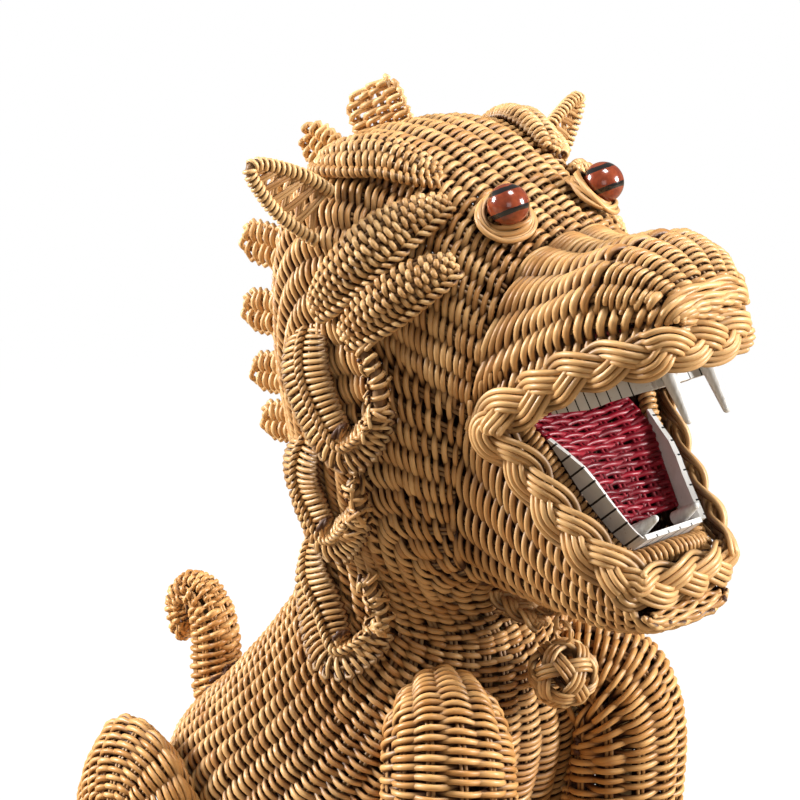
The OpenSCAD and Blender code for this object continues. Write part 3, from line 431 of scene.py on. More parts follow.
def weave(skin, stakes, pitch, reed, stake_reed, thick=9.0, span=(0.0, 1.0), skew=None, ref=0.0,
          loose=0.25, fine=5, slant=0.5, cut=2.0, works=None, stakes_to=None, seam=0.5, edge=0.0,
          fill=1.4, staked=True):
    """Rows of twined reeds over paired stakes, sizes in mm.

    Rows are one pitch apart along the line ref of the skin, over the span of it. They stop where the skin has
    no room for them, and more are laid where they spread past fill pitches. skew drops a row round the skin,
    loose lets it wander, and slant leans its strokes. Rows of a closed skin start at seam, and those of an
    open one at edge. Reeds past cut go to the second of works. Stakes end at stakes_to.
    """
    works = works or [Strands()]
    s = np.linspace(span[0], span[1], 500)
    along = lengths(skin.place(s, np.full_like(s, ref)))
    rows = max(2, int(round(along[-1] / (pitch * MM))))
    mid, swing = thick / 2, thick / 2 - reed / 2
    laps = stakes if skin.closed else stakes - 1
    count = laps * fine + 1
    v = np.linspace(seam - 1, seam, count) if skin.closed else np.linspace(edge, 1 - edge, count)
    turn = v * laps

    def lay_reed(at, v, depth, radius, deep):
        past = at > cut
        radius = np.broadcast_to(radius, len(at))
        for run in np.split(np.arange(len(at)), np.flatnonzero(np.diff(past.astype(int))) + 1):
            own = works[int(past[run[0]])]
            run = np.arange(run[0], min(run[-1] + 2, len(at)))
            line, out = skin.lay(at[run], v[run], depth[run] * MM), skin.out(at[run], v[run])
            own.add(line, radius[run], deep[run], None, out)

    def station(i):
        flat = np.interp(np.clip(i, 0, rows), np.linspace(0, rows, 500), np.interp(
            np.linspace(0, along[-1], 500), along, s))
        slope = (span[1] - span[0]) / rows
        return flat + np.where(i < 0, i * slope, 0) + np.where(i > rows, (i - rows) * slope, 0)

    def apart(low, high):
        return np.linalg.norm(skin.place(station(high), v) - skin.place(station(low), v), axis=1)

    def lay_pair(run, middle, room, spread, give):
        """Two reeds side by side that change places at each stake."""
        whole = len(run) == count and skin.closed
        from_end = np.minimum(np.arange(len(run)), np.arange(len(run))[::-1])
        for partner in (0, 1):
            lean = slant * np.sin(math.pi * (turn[run] + partner))
            beside = (2 * partner - 1) * (1 - 0.5 * slant) + lean
            offset = 0.25 * pitch * spread * beside / room
            stray = waver(len(run), fine * 3, loose) / room
            if whole:
                stray = stray * np.minimum(1, from_end / 6)
            depth = mid - swing * give * np.cos(math.pi * (turn[run] + partner))
            if not whole and skin.closed:
                depth = depth + 5.0 * np.clip(1 - from_end / (fine * 0.6), 0, 1)
            # The deeper a reed lies in the work, the more painted shade it takes.
            deep = np.clip((depth - reed / 2) / max(thick - reed, 5.0), 0, 1)
            swell = np.clip(spread, 0.85, 1.35) * luck.uniform(0.92, 1.06)
            lay_reed(station(middle + offset + stray), v[run], depth, reed / 2 * MM * swell, deep)

    for i in range(rows):
        drop = np.zeros(count) if skew is None else skew(v, i / rows) * rows
        fall = drop if skew is None else skew(v, (i + 1) / rows) * rows
        here = i + 0.5 + drop
        room = np.maximum(apart(here - 0.5, here + 0.5), 1e-5) / MM
        gap = apart(here, here + 1 + fall - drop)
        # Where rows crowd, every second row ends first, then every fourth and so on.
        level = 4 if i == 0 else min(4, (i & -i).bit_length() - 1)
        enough = 0.62 * pitch / 2 ** level
        kept = (np.maximum(gap / MM, room) >= enough) & (here > -0.01) & (here < rows + 0.01)
        step = np.gradient(lengths(skin.place(station(here), v))) * fine / MM
        give = np.clip(step / (2.4 * reed), 0.25, 1.0)
        spread = np.clip(gap / (pitch * MM), 1.0, 4.0)
        parts = np.where(spread > fill, np.ceil(spread - fill + 1), 1)
        to_next = (1 + fall - drop) / np.maximum(spread, parts - 0.5)
        spread = spread / parts
        for extra in range(4):
            middle, shown = here + extra * to_next * spread, kept & (parts > extra)
            for run in np.split(np.arange(count), np.flatnonzero(np.diff(shown.astype(int))) + 1):
                if shown[run[0]] and len(run) >= fine:
                    lay_pair(run, middle[run], room[run], spread[run], give[run])
    reach = np.linspace(span[0], stakes_to or span[1], max(8, int(along[-1] / (5 * MM))))
    # Stakes lie inside the weave and take painted shade by hidden.
    inside, hidden = np.full_like(reach, mid), np.full_like(reach, mid / 9.0)
    for j in range(stakes if staked else 0):
        home = j / stakes if skin.closed else j / laps
        girth = np.linalg.norm(skin.place(reach, np.full_like(reach, home + 0.004))
                               - skin.place(reach, np.full_like(reach, home - 0.004)), axis=1) / 0.008
        for half in (-0.55, 0.55):
            side = home + half * stake_reed * MM / np.maximum(girth, 0.01)
            side = side if skin.closed else np.clip(side, 0, 1)
            lay_reed(reach, side, inside, stake_reed / 2 * MM, hidden)
    return works[0]


def rattan(name, light, dark, scar_and_painted_shade):
    """Peeled reed: long pale fibres, painted shade where a reed dips inside or faces inward, a dull natural
    gloss.
    """
    material, sockets, wire = finish_of(name)
    marked = wire.node("ShaderNodeAttribute", {"attribute_name": "strand"})
    parts = material.node_tree.nodes.new("ShaderNodeSeparateColor")
    material.node_tree.links.new(marked.socket, parts.inputs[0])
    tone, deep = Wire(material.node_tree, parts.outputs[0]), Wire(material.node_tree, parts.outputs[1])
    fibre = wire.node("ShaderNodeAttribute", {"attribute_name": "fibre"}, out=1)
    streak = fibre.stretched(1900.0, 1900.0, 38.0).noise(1.0, 3.0)
    drift = fibre.stretched(60.0, 60.0, 26.0).noise(1.0, 2.0)
    scar = fibre.stretched(30.0, 30.0, 9.0).noise(1.0, 1.0).step(0.72, 0.78)
    mixed = (tone * 0.62 + drift * 0.7 + streak * 0.5 - 0.42).step(0.0, 1.0)
    face = mixed.blend((*light, 1), (*dark, 1))
    marked_face = (scar * 0.35).blend(face, (*scar_and_painted_shade, 1))
    # Painted shade: the colour goes toward the shade colour as a point's depth and underside mark grow; scars
    # take the same colour.
    (deep.step(0.05, 0.8) * 0.97).blend(marked_face, (*scar_and_painted_shade, 1)).into("Base Color")
    (streak * 0.2 + 0.3 + deep * 0.25).into("Roughness")
    sockets["Specular IOR Level"].default_value = 0.4
    sockets["Coat Weight"].default_value = 0.12
    sockets["Coat Roughness"].default_value = 0.3
    streak.bump(0.4, 0.0003)
    return material


# The third colour of each reed is painted shade, laid where reeds lie deep or face inward, and also the
# colour of scars.
reed_straw = rattan("reed_straw", (0.76, 0.46, 0.19), (0.42, 0.185, 0.048), (0.05, 0.012, 0.002))
BODY = np.array([
    (135, -192, 20, -215, 62, 0.5, 2.2), (153, -224, 12, -240, 74, 0.5, 2.2),
    (180.1, -256, 9, -270, 84.4, 0.5, 2.3), (215, -292, 19, -306.1, 90, 0.5, 2.4),
    (226, -337, 34, -341, 90, 0.5, 2.5), (223, -369, 46, -371, 86, 0.5, 2.5),
    (213, -395, 54, -395, 79, 0.5, 2.5)])

# Head skin: the same twined reed from the mouth over the crown and down the neck to the collar.
# The rows fan round the throat, so every second or fourth row ends on the cheek.
HEAD = np.array([
    (-14, -11, 24, -187, 55, 0.53, 2.6), (22, 6, 26, -189, 66.04, 0.58, 2.7),
    (60, 22, 27, -191, 73.86, 0.64, 2.8), (98, 21, 28, -193, 78, 0.64, 2.7),
    (128, -2, 28, -196, 78, 0.59, 2.5), (141, -48, 27, -200, 74, 0.54, 2.3),
    (141, -100, 26, -204, 67.92, 0.5, 2.2), (136, -150, 24, -209, 62.96, 0.5, 2.2),
    (135, -192, 20, -215, 62, 0.5, 2.2)])
TRUNK = np.vstack([HEAD, BODY[1:]])
COLLAR, TRUNK_END = len(HEAD) - 1, len(TRUNK) - 1


def leaned(ring, s):
    """A ring whose points creep toward the spine as the body goes down, so that the stakes lean back."""
    n = len(ring)
    w = np.arange(n) / n
    ease = np.clip((s - 6.5) / 7.0, 0, 1)
    at = (w - 0.095 * ease * ease * (3 - 2 * ease) * np.sin(2 * math.pi * w)) * n
    i = np.floor(at).astype(int)
    t = (at - i)[:, None]
    return ring[i % n] * (1 - t) + ring[(i + 1) % n] * t


def row_fall(v, row):
    """How far a row has dropped at each place round the trunk, as a share of all rows."""
    ease = np.clip((row - 0.13) / 0.27, 0, 1)
    drop = 0.22 * ease * ease * (3 - 2 * ease) + 0.14 * np.clip((row - 0.36) / 0.6, 0, 1)
    return drop * (1 - np.cos(2 * math.pi * v)) / 2


trunk_at = np.linspace(0, TRUNK_END, 10 * TRUNK_END + 1)
trunk_face = Skin([leaned(section_ring(row), s) for s, row in zip(trunk_at, between(TRUNK, trunk_at))])
head_work, body_work = Strands(), Strands()
weave(trunk_face, stakes=46, pitch=4.5, reed=2.9, stake_reed=2.3, thick=8.5, skew=row_fall, loose=0.4,
      seam=0.3, fill=1.2, cut=COLLAR / TRUNK_END, works=[head_work, body_work])
for part, work in (("head", head_work), ("body", body_work)):
    third = len(work.runs) // 3
    for name, first, last in (("upper", 0, third), ("middle", third, 2 * third), ("lower", 2 * third, None)):
        share = Strands()
        share.runs = work.runs[first:last]
        share.piece(f"{part}_weave_{name}", reed_straw, "statue", "rattan", f"{part}_skin")

# Muzzle and jaw: two open troughs of the same weave, hoops of reed from lip to lip.
# Their stakes run forward from the face and end under the braid of the lip.
MUZZLE = np.array([
    (-14, -11, 3.86, -93.72, 55, 2.6), (-34, -13, -21, -72, 50.2, 2.3),
    (-58, -7, -46, -55, 45.4, 2.9), (-77, -10, -67, -46.5, 38.5, 3.0),
    (-90, -20, -84, -41, 31.6, 2.8), (-97, -30, -94, -38, 25, 2.6)])
JAW = np.array([
    (24, -187, 3.86, -93.72, 55, 2.6), (-6.02, -189, -15.48, -116, 50.32, 2.6),
    (-32.68, -191, -36.12, -139, 45.12, 2.6), (-57.62, -191, -57.62, -157, 39.92, 2.6),
    (-76.54, -187, -73.96, -168, 33.68, 2.6), (-86, -182, -83.42, -173, 29, 2.6)])
# Share of the rings where the weave of the sides ends and that of the front begins.
FRONT_FROM = 0.74


def arch_ring(row, count=64):
    """Hoop from lip to lip from a row: top and lip in the side view, half-width, squareness."""
    top, lip = row[0:2], row[2:4]
    a = np.linspace(-0.05, math.pi + 0.05, 741)
    q = lip + np.outer(bow(np.sin(a), row[5]), top - lip)
    return evened(np.column_stack([row[4] * bow(-np.cos(a), row[5]), q + EYE]), count, False) * MM


def trough(table, forward):
    """Hoops from the face forward, then hoops that sink to the lip and close the end."""
    rings = [arch_ring(row) for row in between(table, np.linspace(0, 5, 51))]
    end = table[-1]
    for k in (0.3, 0.6, 0.85):
        row = end.copy()
        row[0:2] = end[2:4] + (end[0:2] - end[2:4]) * (1 - k)
        row[[0, 2]] -= forward * math.sin(math.pi * k)
        row[4] -= 6.0 * k
        rings.append(arch_ring(row))
    sink = (end[0:2] - end[2:4]) / np.linalg.norm(end[0:2] - end[2:4])
    for t in (2.5, 5.0, 8.0):
        low = row.copy()
        low[0:4] -= np.tile(sink * t, 2)
        rings.append(arch_ring(low))
    return Skin(rings, closed=False)


def hoop_lean(v, row):
    """Muzzle hoops stand upright: their crowns lie a little further back than their feet."""
    return -0.2 * np.sin(math.pi * v) * math.sin(math.pi * row)


for part, table, stakes, front_stakes, pitch, reed, ref, lean in (
        ("muzzle", MUZZLE, 12, 7, 4.5, 3.1, 0.5, hoop_lean), ("jaw", JAW, 14, 8, 4.8, 3.0, 0.3, None)):
    trough_face, trough_work = trough(table, forward=1.5), Strands()
    weave(trough_face, stakes, pitch, reed, stake_reed=2.4, ref=ref, fine=7, slant=0.6, span=(0, FRONT_FROM),
          skew=lean, stakes_to=FRONT_FROM - 0.03, works=[trough_work])
    weave(trough_face, front_stakes, pitch, reed, stake_reed=2.4, thick=4.6, ref=0.5, fine=9, edge=0.03,
          span=(FRONT_FROM, 1), staked=False, works=[trough_work])
    trough_work.piece(f"{part}_weave", reed_straw, "statue", "rattan", f"{part}_skin")

# Lips: one loop of three-strand plait round the mouth, four split reeds to a strand.
# It is sewn over the edges of the muzzle and the jaw, and turns at the two mouth corners.
# Its third colour is painted shade.
reed_pale = rattan("reed_pale", (0.83, 0.535, 0.24), (0.50, 0.25, 0.08), (0.06, 0.016, 0.003))
UPPER_LIP = np.array([
    (57.4, -95.14, 301.28), (49.2, -110.81, 314.23), (44.4, -134.38, 330.29), (37.5, -153.84, 338.08),
    (30.6, -167.16, 342.35), (24.0, -172.71, 345.57), (0.0, -176.71, 344.57)])
LOWER_LIP = np.array([
    (57.4, -95.14, 301.28), (49.32, -107.02, 286.64), (44.12, -127.09, 264.24), (38.92, -147.60, 246.87),
    (32.68, -159.42, 238.47), (28.0, -162.96, 234.05), (0.0, -167.60, 235.05)])
OTHER_SIDE = np.array([-1.0, 1.0, 1.0])
BOTH_SIDES = (("left", np.ones(3)), ("right", OTHER_SIDE))
MOUTH_Y = -99.14


def smooth_loop(knots, count):
    """Smooth closed line through knots."""
    n = len(knots)
    padded = np.vstack([knots[-1:], knots, knots[:2]])
    return evened(between(padded, np.linspace(1, n + 1, 40 * n)[:-1]), count, True)


def unit(v):
    return v / np.maximum(np.linalg.norm(v, axis=-1, keepdims=True), 1e-12)


def lip_frame(points, closed):
    """Directions along the lip, out from the middle of the mouth, and across toward the teeth."""
    if closed:
        ahead = unit(np.roll(points, -1, axis=0) - np.roll(points, 1, axis=0))
    else:
        ahead = unit(np.gradient(points, axis=0))
    out = np.column_stack([points[:, 0], 0.8 * (points[:, 1] - MOUTH_Y), np.zeros(len(points))])
    out = unit(out - ahead * (out * ahead).sum(axis=1, keepdims=True))
    return ahead, out, np.cross(out, ahead)


def plait(strands, points, ahead, out, side, turns, sway, rise, dome, reeds, reed, closed):
    """Three flat strands of reeds that cross over each other, sizes in mm."""
    along = np.linspace(0, 2 * math.pi * turns, len(points), endpoint=not closed)
    run = lengths(points)[-1] * (len(points) / (len(points) - 1) if closed else 1)
    for k in range(3):
        a = along + 2 * math.pi * k / 3
        lean = np.arctan(sway * np.cos(a) * 2 * math.pi * turns / run)
        tone = luck.uniform(0.2, 0.7)
        for q in np.arange(reeds) - (reeds - 1) / 2:
            off = q * reed * 0.97
            across = sway * np.sin(a) + off * np.cos(lean)
            edge = across / (sway + reeds * reed / 2)
            up = rise * np.sin(2 * a) + dome * (1 - edge ** 2) - 0.06 * off ** 2
            line = points + side * across[:, None] + out * up[:, None]
            line = line - ahead * (off * np.sin(lean))[:, None]
            # deep paints shade where a strand passes under the others; out is scaled down so the plait takes
            # less painted shade on its sides.
            deep = 0.24 - 0.24 * np.sin(2 * a)
            if closed:
                line, deep = np.vstack([line, line[:2]]), np.concatenate([deep, deep[:2]])
            strands.add(line * MM, reed / 2 * MM, deep, tone + luck.uniform(-0.15, 0.15),
                        0.3 * (np.vstack([out, out[:2]]) if closed else out))


mouth_knots = np.vstack([
    UPPER_LIP, UPPER_LIP[5::-1] * OTHER_SIDE, LOWER_LIP[1:] * OTHER_SIDE, LOWER_LIP[5:0:-1]])
mouth_line = smooth_loop(mouth_knots, 640)
lip_ahead, lip_out, lip_in = lip_frame(mouth_line, True)
lip_strands = Strands()
plait(lip_strands, mouth_line, lip_ahead, lip_out, lip_in, turns=8, sway=6.0, rise=2.9, dome=2.2, reeds=4,
      reed=2.9, closed=True)
lip_strands.piece("lip_braid", reed_pale, "statue", "rattan_pale", "upper_lip", "lower_lip")

# Rods inside the lips: bent canes bound from end to end with a flat reed, so they show as close rings.
# The tooth boards stand on them; the lower rod is thicker at the chin and lifts there to meet its board.
ROD_IN, ROD_ACROSS, ROD_R, CHIN_LIFT = 11.31, 5.25, 4.5, 4.5


def frames_along(points):
    """Directions along a line and to two sides of it, without twist."""
    ahead = unit(np.gradient(points, axis=0))
    start = np.cross(ahead[0], (0.3, 0.5, 0.81))
    sides = [start / np.linalg.norm(start)]
    for t in ahead[1:]:
        s = sides[-1] - t * np.dot(sides[-1], t)
        sides.append(s / np.linalg.norm(s))
    sides = np.array(sides)
    return ahead, sides, np.cross(ahead, sides)


def bound_rod(strands, points, radius, reed, pitch, ragged):
    """A core cane and a reed wound round it, sizes in mm; ragged lets the turns wander."""
    along = lengths(points)
    count = max(12, int(along[-1] / pitch * 9))
    at = np.linspace(0, along[-1], count)
    line = np.stack([np.interp(at, along, points[:, k]) for k in range(3)], axis=1)
    thick = np.interp(at, along, np.broadcast_to(radius, len(points)))
    ahead, u, v = frames_along(line)
    a = 2 * math.pi * at / pitch + waver(count, 14, ragged)
    away = u * np.cos(a)[:, None] + v * np.sin(a)[:, None]
    wound = line + away * (thick - reed / 2)[:, None] + ahead * waver(count, 9, ragged * 0.8)[:, None]
    strands.add(wound * MM, reed / 2 * MM, 0.08, None, away)
    core = line[::4]
    strands.add(core * MM, (thick[::4] - reed * 0.7) * MM, 0.6)


for lip, rim in ((UPPER_LIP, "upper_rim"), (LOWER_LIP, "lower_rim")):
    whole = np.vstack([lip, lip[5::-1] * OTHER_SIDE])
    if rim == "lower_rim":
        whole = whole[::-1]
    lip_line = between(whole, np.linspace(0, 12, 240))
    _, out, inward = lip_frame(lip_line, False)
    chin = np.exp(-((np.arange(240) - 119.5) / 34) ** 2) * (rim == "lower_rim")
    rod_line = lip_line - out * ROD_IN + inward * (ROD_ACROSS + CHIN_LIFT * chin)[:, None]
    shown = slice(14, 226)
    rim_strands = Strands()
    bound_rod(rim_strands, rod_line[shown], radius=(ROD_R + chin)[shown], reed=2.7, pitch=3.1, ragged=0.25)
    rim_strands.piece(rim.replace("rim", "bound_rod"), reed_straw, "statue", "rattan", rim)

# Teeth: thin boards painted white, ruled with black lines so that they read as rows of teeth.
# They stand on the bound rods; four whittled fangs are pinned beside the front boards.
FRONT_GAP = 7.8


def tooth_paint(board, along, start, spacing, outside):
    """White paint with black lines at an even spacing on the outer face of a board."""
    paint, _, wire = finish_of(board + "_paint")
    faces = solid[board].data
    broad = max(faces.polygons, key=lambda f: f.area).normal
    broad = np.array(broad) * (1 if np.dot(broad, outside) > 0 else -1)
    middle = np.mean([np.dot(v.co, broad) for v in faces.vertices])
    spot = wire.spot()
    wobble = spot.noise(320.0, 2.0)
    tooth = wire.combine("FRACT", (spot.along(along) - start) / spacing + wobble * 0.03, 0.0)
    ruled = (tooth - 0.5).size()
    line = ((ruled + wobble * 0.02) < 0.07) * (spot.along(broad) > float(middle))
    smear = spot.noise(90.0, 4.0)
    chip = spot.noise(420.0, 3.0).step(0.66, 0.72)
    coat = smear.step(0.3, 0.7).blend((0.70, 0.68, 0.64, 1), (0.82, 0.81, 0.78, 1))
    worn = (chip * 0.5).blend(coat, (0.52, 0.45, 0.36, 1))
    line.blend(worn, (0.012, 0.012, 0.014, 1)).into("Base Color")
    (smear * 0.2 + 0.38).into("Roughness")
    smear.bump(0.2, 0.0004)
    return paint


for tooth_row, back, front, gap in (
        ("upper", (33.39, -113.27, 306.71), (19.47, -154.59, 333.11), 5.6),
        ("lower", (33.63, -111.18, 293.65), (20.30, -148.51, 247.87), 7.8)):
    back, front = np.array(back), np.array(front)
    for side, flip in BOTH_SIDES:
        run = unit((front - back) * flip)
        board = f"{tooth_row}_board_{side}"
        start = float(np.dot(back * flip, run))
        coat_solid(board, tooth_paint(board, run, start * MM, gap * MM, outside=flip * (1, 0, 0)))
    board = f"{tooth_row}_board_front"
    coat_solid(board, tooth_paint(board, (1.0, 0.0, 0.0), 0.0, FRONT_GAP * MM, outside=(0, -1, 0)))

fang_wood, _, fang = finish_of("fang_wood")
fang_grain = fang.spot().stretched(700.0, 700.0, 90.0).noise(1.0, 4.0)
fang_grain.step(0.25, 0.75).blend((0.62, 0.60, 0.56, 1), (0.82, 0.81, 0.78, 1)).into("Base Color")
(fang_grain * 0.25 + 0.35).into("Roughness")
fang_grain.bump(0.4, 0.0005)
coat_solid("upper_fangs", fang_wood)
coat_solid("lower_fangs", fang_wood)

# Throat panel: a woven tongue of reed dyed crimson, from the palate down to the feet of the lower boards.
# It is woven flat over seven stakes and bulges a little toward the mouth.
# Its third colour is painted shade.
reed_dyed = rattan("reed_dyed", (0.34, 0.005, 0.020), (0.10, 0.001, 0.006), (0.01, 0.0003, 0.001))
dyed_in = reed_dyed.node_tree.nodes["Principled BSDF"].inputs
dyed_in["Coat Weight"].default_value = 0.2
dyed_in["Specular IOR Level"].default_value = 0.25
PANEL = np.array([
    (-113.14, 331.28, 28), (-97.14, 321.28, 33), (-89.14, 307.28, 31.68), (-115.66, 289.16, 30.08),
    (-129.84, 271.76, 25.02), (-141.04, 258.03, 21.02)])
panel_line = between(PANEL, np.linspace(0, 5, 41))
panel_slope = unit(np.gradient(panel_line[:, :2], axis=0))
panel_up = np.column_stack([-panel_slope[:, 1], panel_slope[:, 0]])
panel_grid = []
for p, up in zip(panel_line, panel_up):
    v = np.linspace(-1, 1, 33)
    lift = np.outer(v * v * -4.0 + 4.0, up)
    panel_grid.append(np.column_stack([p[2] * v, p[:2] + lift]) * MM)
panel_face = Skin(panel_grid, closed=False)
if panel_face.out(np.array([0.6]), np.array([0.5]))[0, 1] > 0:
    panel_face.sign = -panel_face.sign
panel_work = weave(panel_face, stakes=7, pitch=4.4, reed=3.0, stake_reed=2.4, thick=4.5, ref=0.5, fine=6,
                   loose=0.4)
panel_work.piece("throat_weave", reed_dyed, "statue", "dyed_reed", "throat_panel")

# Eyes: turned beads with two dark bands, each on a peg that runs through the head skin.
# A nest of a few turns of thin reed lies on the weave round each bead.
EYE_AT, EYE_OUT = np.array([27.96, -78.86, 388.29]), np.array([0.357815, -0.46197, 0.811512])
for side, flip in BOTH_SIDES:
    bead, bead_in, bead_wire = finish_of(f"bead_{side}")
    centre = (EYE_AT + EYE_OUT * 9.8) * flip
    spot = bead_wire.spot()
    grain = spot.noise(260.0, 3.0)
    pole = unit(np.array([-0.064, 0.43, 0.903]))
    height = spot.along(pole) - float(np.dot(centre, pole)) * MM + (grain - 0.5) * 0.0008
    low_band, top_band = (height + 0.0034).size(), (height - 0.0066).size()
    band = bead_wire.combine("MINIMUM", low_band, top_band) < 0.0011
    skin_tone = grain.step(0.3, 0.75).blend((0.17, 0.028, 0.010, 1), (0.30, 0.058, 0.020, 1))
    band.blend(skin_tone, (0.012, 0.010, 0.010, 1)).into("Base Color")
    (grain * 0.12 + 0.12).into("Roughness")
    bead_in["Coat Weight"].default_value = 0.4
    bead_in["Coat Roughness"].default_value = 0.08
    coat_solid(f"eye_bead_{side}", bead)
    nest = Strands()
    across = unit(np.cross(EYE_OUT, (1.0, 0.0, 0.0)))
    other = np.cross(EYE_OUT, across)
    for turn in range(6):
        radius, lift = 9.9 + 0.6 * turn, 3.6 - 0.3 * turn + luck.uniform(-0.8, 0.8)
        phase = luck.uniform(0, 6.28)
        a = np.linspace(0, 2 * math.pi * 1.02, 56)
        rise = np.maximum(0.9, lift + 1.7 * np.sin(a + phase) + 0.8 * np.sin(2 * a + 2 * phase))
        reach = radius + 1.4 * np.sin(a + 1.7 * phase) + 0.5 * np.sin(3 * a)
        away = np.outer(np.cos(a), across) + np.outer(np.sin(a), other)
        line = EYE_AT + away * reach[:, None] + np.outer(rise, EYE_OUT)
        nest.add(line * flip * MM, 1.35 * MM, 0.1, None, unit(away + EYE_OUT) * flip)
    nest.piece(f"eye_nest_{side}", reed_straw, "statue", "rattan", f"eye_ring_{side}")

# Ears: a bent cane bound with reed, laced across with flat strips that cross each other.
# The feet of the cane are pushed into the head skin.
EAR_ROOT = np.array([71.33, -7.0, 384.0])
EAR_OUT, EAR_ACROSS = np.array([0.782902, 0.190707, 0.592195]), np.array([-0.568935, -0.165706, 0.805515])
ear_knots = np.array([
    (67.18, -7.04, 395.45), EAR_ROOT + EAR_OUT * 21.15 + EAR_ACROSS * 10.5,
    EAR_ROOT + EAR_OUT * 40.42 + EAR_ACROSS * 5.04, EAR_ROOT + EAR_OUT * 47,
    EAR_ROOT + EAR_OUT * 40.42 - EAR_ACROSS * 5.04, EAR_ROOT + EAR_OUT * 21.15 - EAR_ACROSS * 10.5,
    (76.34, -7.06, 373.90)])
ear_line = between(ear_knots, np.linspace(0, 6, 120))
for side, flip in BOTH_SIDES:
    hoop = Strands()
    bound_rod(hoop, ear_line * flip, radius=3.5, reed=2.1, pitch=2.9, ragged=0.2)
    hoop.piece(f"ear_bound_{side}", reed_pale, "statue", "rattan_pale", f"ear_hoop_{side}")
    lacing = Strands()
    for k in range(7):
        lower, upper = 4 + 7 * k, 115 - 7 * k
        for start, end in ((lower, upper - 9), (lower + 7, upper)):
            if end - start < 16:
                continue
            t = np.linspace(0, 1, 9)
            strip = np.outer(1 - t, ear_line[start]) + np.outer(t, ear_line[end])
            bulge = np.cross(EAR_OUT, EAR_ACROSS) * (1.1 if start == lower else -1.1)
            strip = strip + np.outer(np.sin(math.pi * t), bulge)
            for shift in (-0.9, 0.9):
                lacing.add((strip + EAR_OUT * shift) * flip * MM, 0.95 * MM, 0.35)
    lacing.piece(f"ear_lacing_{side}", reed_straw, "statue", "rattan", f"ear_web_{side}")

# Brow and cheek lobes: leaf-shaped pads of reed laid on the head, three to a side.
# Each reed goes across, turns round the edge and comes back, over ribs that run along the leaf.


def flank_x(p):
    """Half-width of the head and body at a place of the side view, in mm."""

    def gap(s):
        q = between(TRUNK, s)
        return (q[0] - q[2]) * (p[1] - q[3]) - (q[1] - q[3]) * (p[0] - q[2])

    low, high = 0.0, float(TRUNK_END)
    first = gap(low)
    for _ in range(16):
        middle = (low + high) / 2
        if gap(middle) * first > 0:
            low = middle
        else:
            high = middle
    q = between(TRUNK, (low + high) / 2)
    rise = q[0:2] - q[2:4]
    t = np.dot(p - q[2:4], rise) / np.dot(rise, rise)
    away = (t - q[5]) / (1 - q[5]) if t > q[5] else (q[5] - t) / q[5]
    return q[4] * max(0.0, 1 - min(1.0, away) ** q[6]) ** (1 / q[6])


def flank_line(knots, count):
    """Points on the left side under a line of the side view, with the outward and crosswise directions."""
    flat = between(np.array(knots, float), np.linspace(0, len(knots) - 1, count))
    places, outs = [], []
    for p in flat:
        places.append((flank_x(p), p[0] + EYE[0], p[1] + EYE[1]))
        outs.append((2.0, *(flank_x(p - step) - flank_x(p + step) for step in np.eye(2))))
    places, outs = np.array(places), unit(np.array(outs))
    return places, outs, unit(np.cross(outs, np.gradient(places, axis=0)))


def loops(strands, skin, ribs, pitch, reed, thick, slant, loose=0.2, span=(0.0, 1.0)):
    """Crosswise reeds that turn back at both edges of a narrow piece, over ribs that run along it."""
    s = np.linspace(span[0], span[1], 300)
    along = lengths(skin.place(s, np.full_like(s, 0.5))) / MM
    rows = max(2, int(round(along[-1] / pitch)))
    v = np.linspace(0, 1, ribs * 5 + 4)
    lean = slant * (2 * np.abs(2 * v - 1) - 1)
    mid, swing = thick / 2, thick / 2 - reed / 2
    for i in range(rows):
        halves, depths = [], []
        for partner in (0, 1):
            at = (i + 0.5) * along[-1] / rows + (partner - 0.5) * 0.52 * pitch + lean
            at = np.interp(at + waver(len(v), 5, loose), along, s)
            depth = mid - swing * np.sin(math.pi * ribs * v + math.pi * partner)
            halves.append(skin.lay(at, v, depth * MM))
            depths.append(depth)
        out = skin.out(at, v)
        ends = []
        for k, inner in ((-1, -2), (0, 1)):
            edge = (halves[0][k] + halves[1][k]) / 2
            away = unit(halves[0][k] - halves[0][inner] + halves[1][k] - halves[1][inner])
            ends.append(edge + away * reed * 0.42 * MM)
        line = np.vstack([halves[0], ends[:1], halves[1][::-1], ends[1:], halves[0][:2]])
        depth = np.concatenate([depths[0], [mid], depths[1][::-1], [mid], depths[0][:2]])
        # Reeds that dip toward the back take painted shade.
        deep = np.clip((depth - reed / 2) / (thick - reed), 0, 1)
        strands.add(line, reed / 2 * MM * luck.uniform(0.92, 1.06), deep, None,
                    np.vstack([out, out[-1:], out[::-1], out[:1], out[:2]]))
    reach = np.linspace(span[0] + 0.03, span[1] - 0.04, 40)
    for k in range(ribs):
        home = np.full_like(reach, (k + 0.5) / ribs)
        strands.add(skin.lay(reach, home, np.full_like(reach, mid * MM)), 1.1 * MM, 0.6)


def twist(strands, points, radius, reed, pitch):
    """Two reeds laid round each other like a cord, sizes in mm."""
    along = lengths(points)
    at = np.linspace(0, along[-1], max(10, int(along[-1] / pitch * 10)))
    line = np.stack([np.interp(at, along, points[:, k]) for k in range(3)], axis=1)
    _, u, v = frames_along(line)
    for start in (0.0, 0.5):
        a = 2 * math.pi * (at / pitch + start) + waver(len(at), 12, 0.15)
        away = u * np.cos(a)[:, None] + v * np.sin(a)[:, None]
        strands.add((line + away * radius) * MM, reed / 2 * MM, 0.1, None, away)


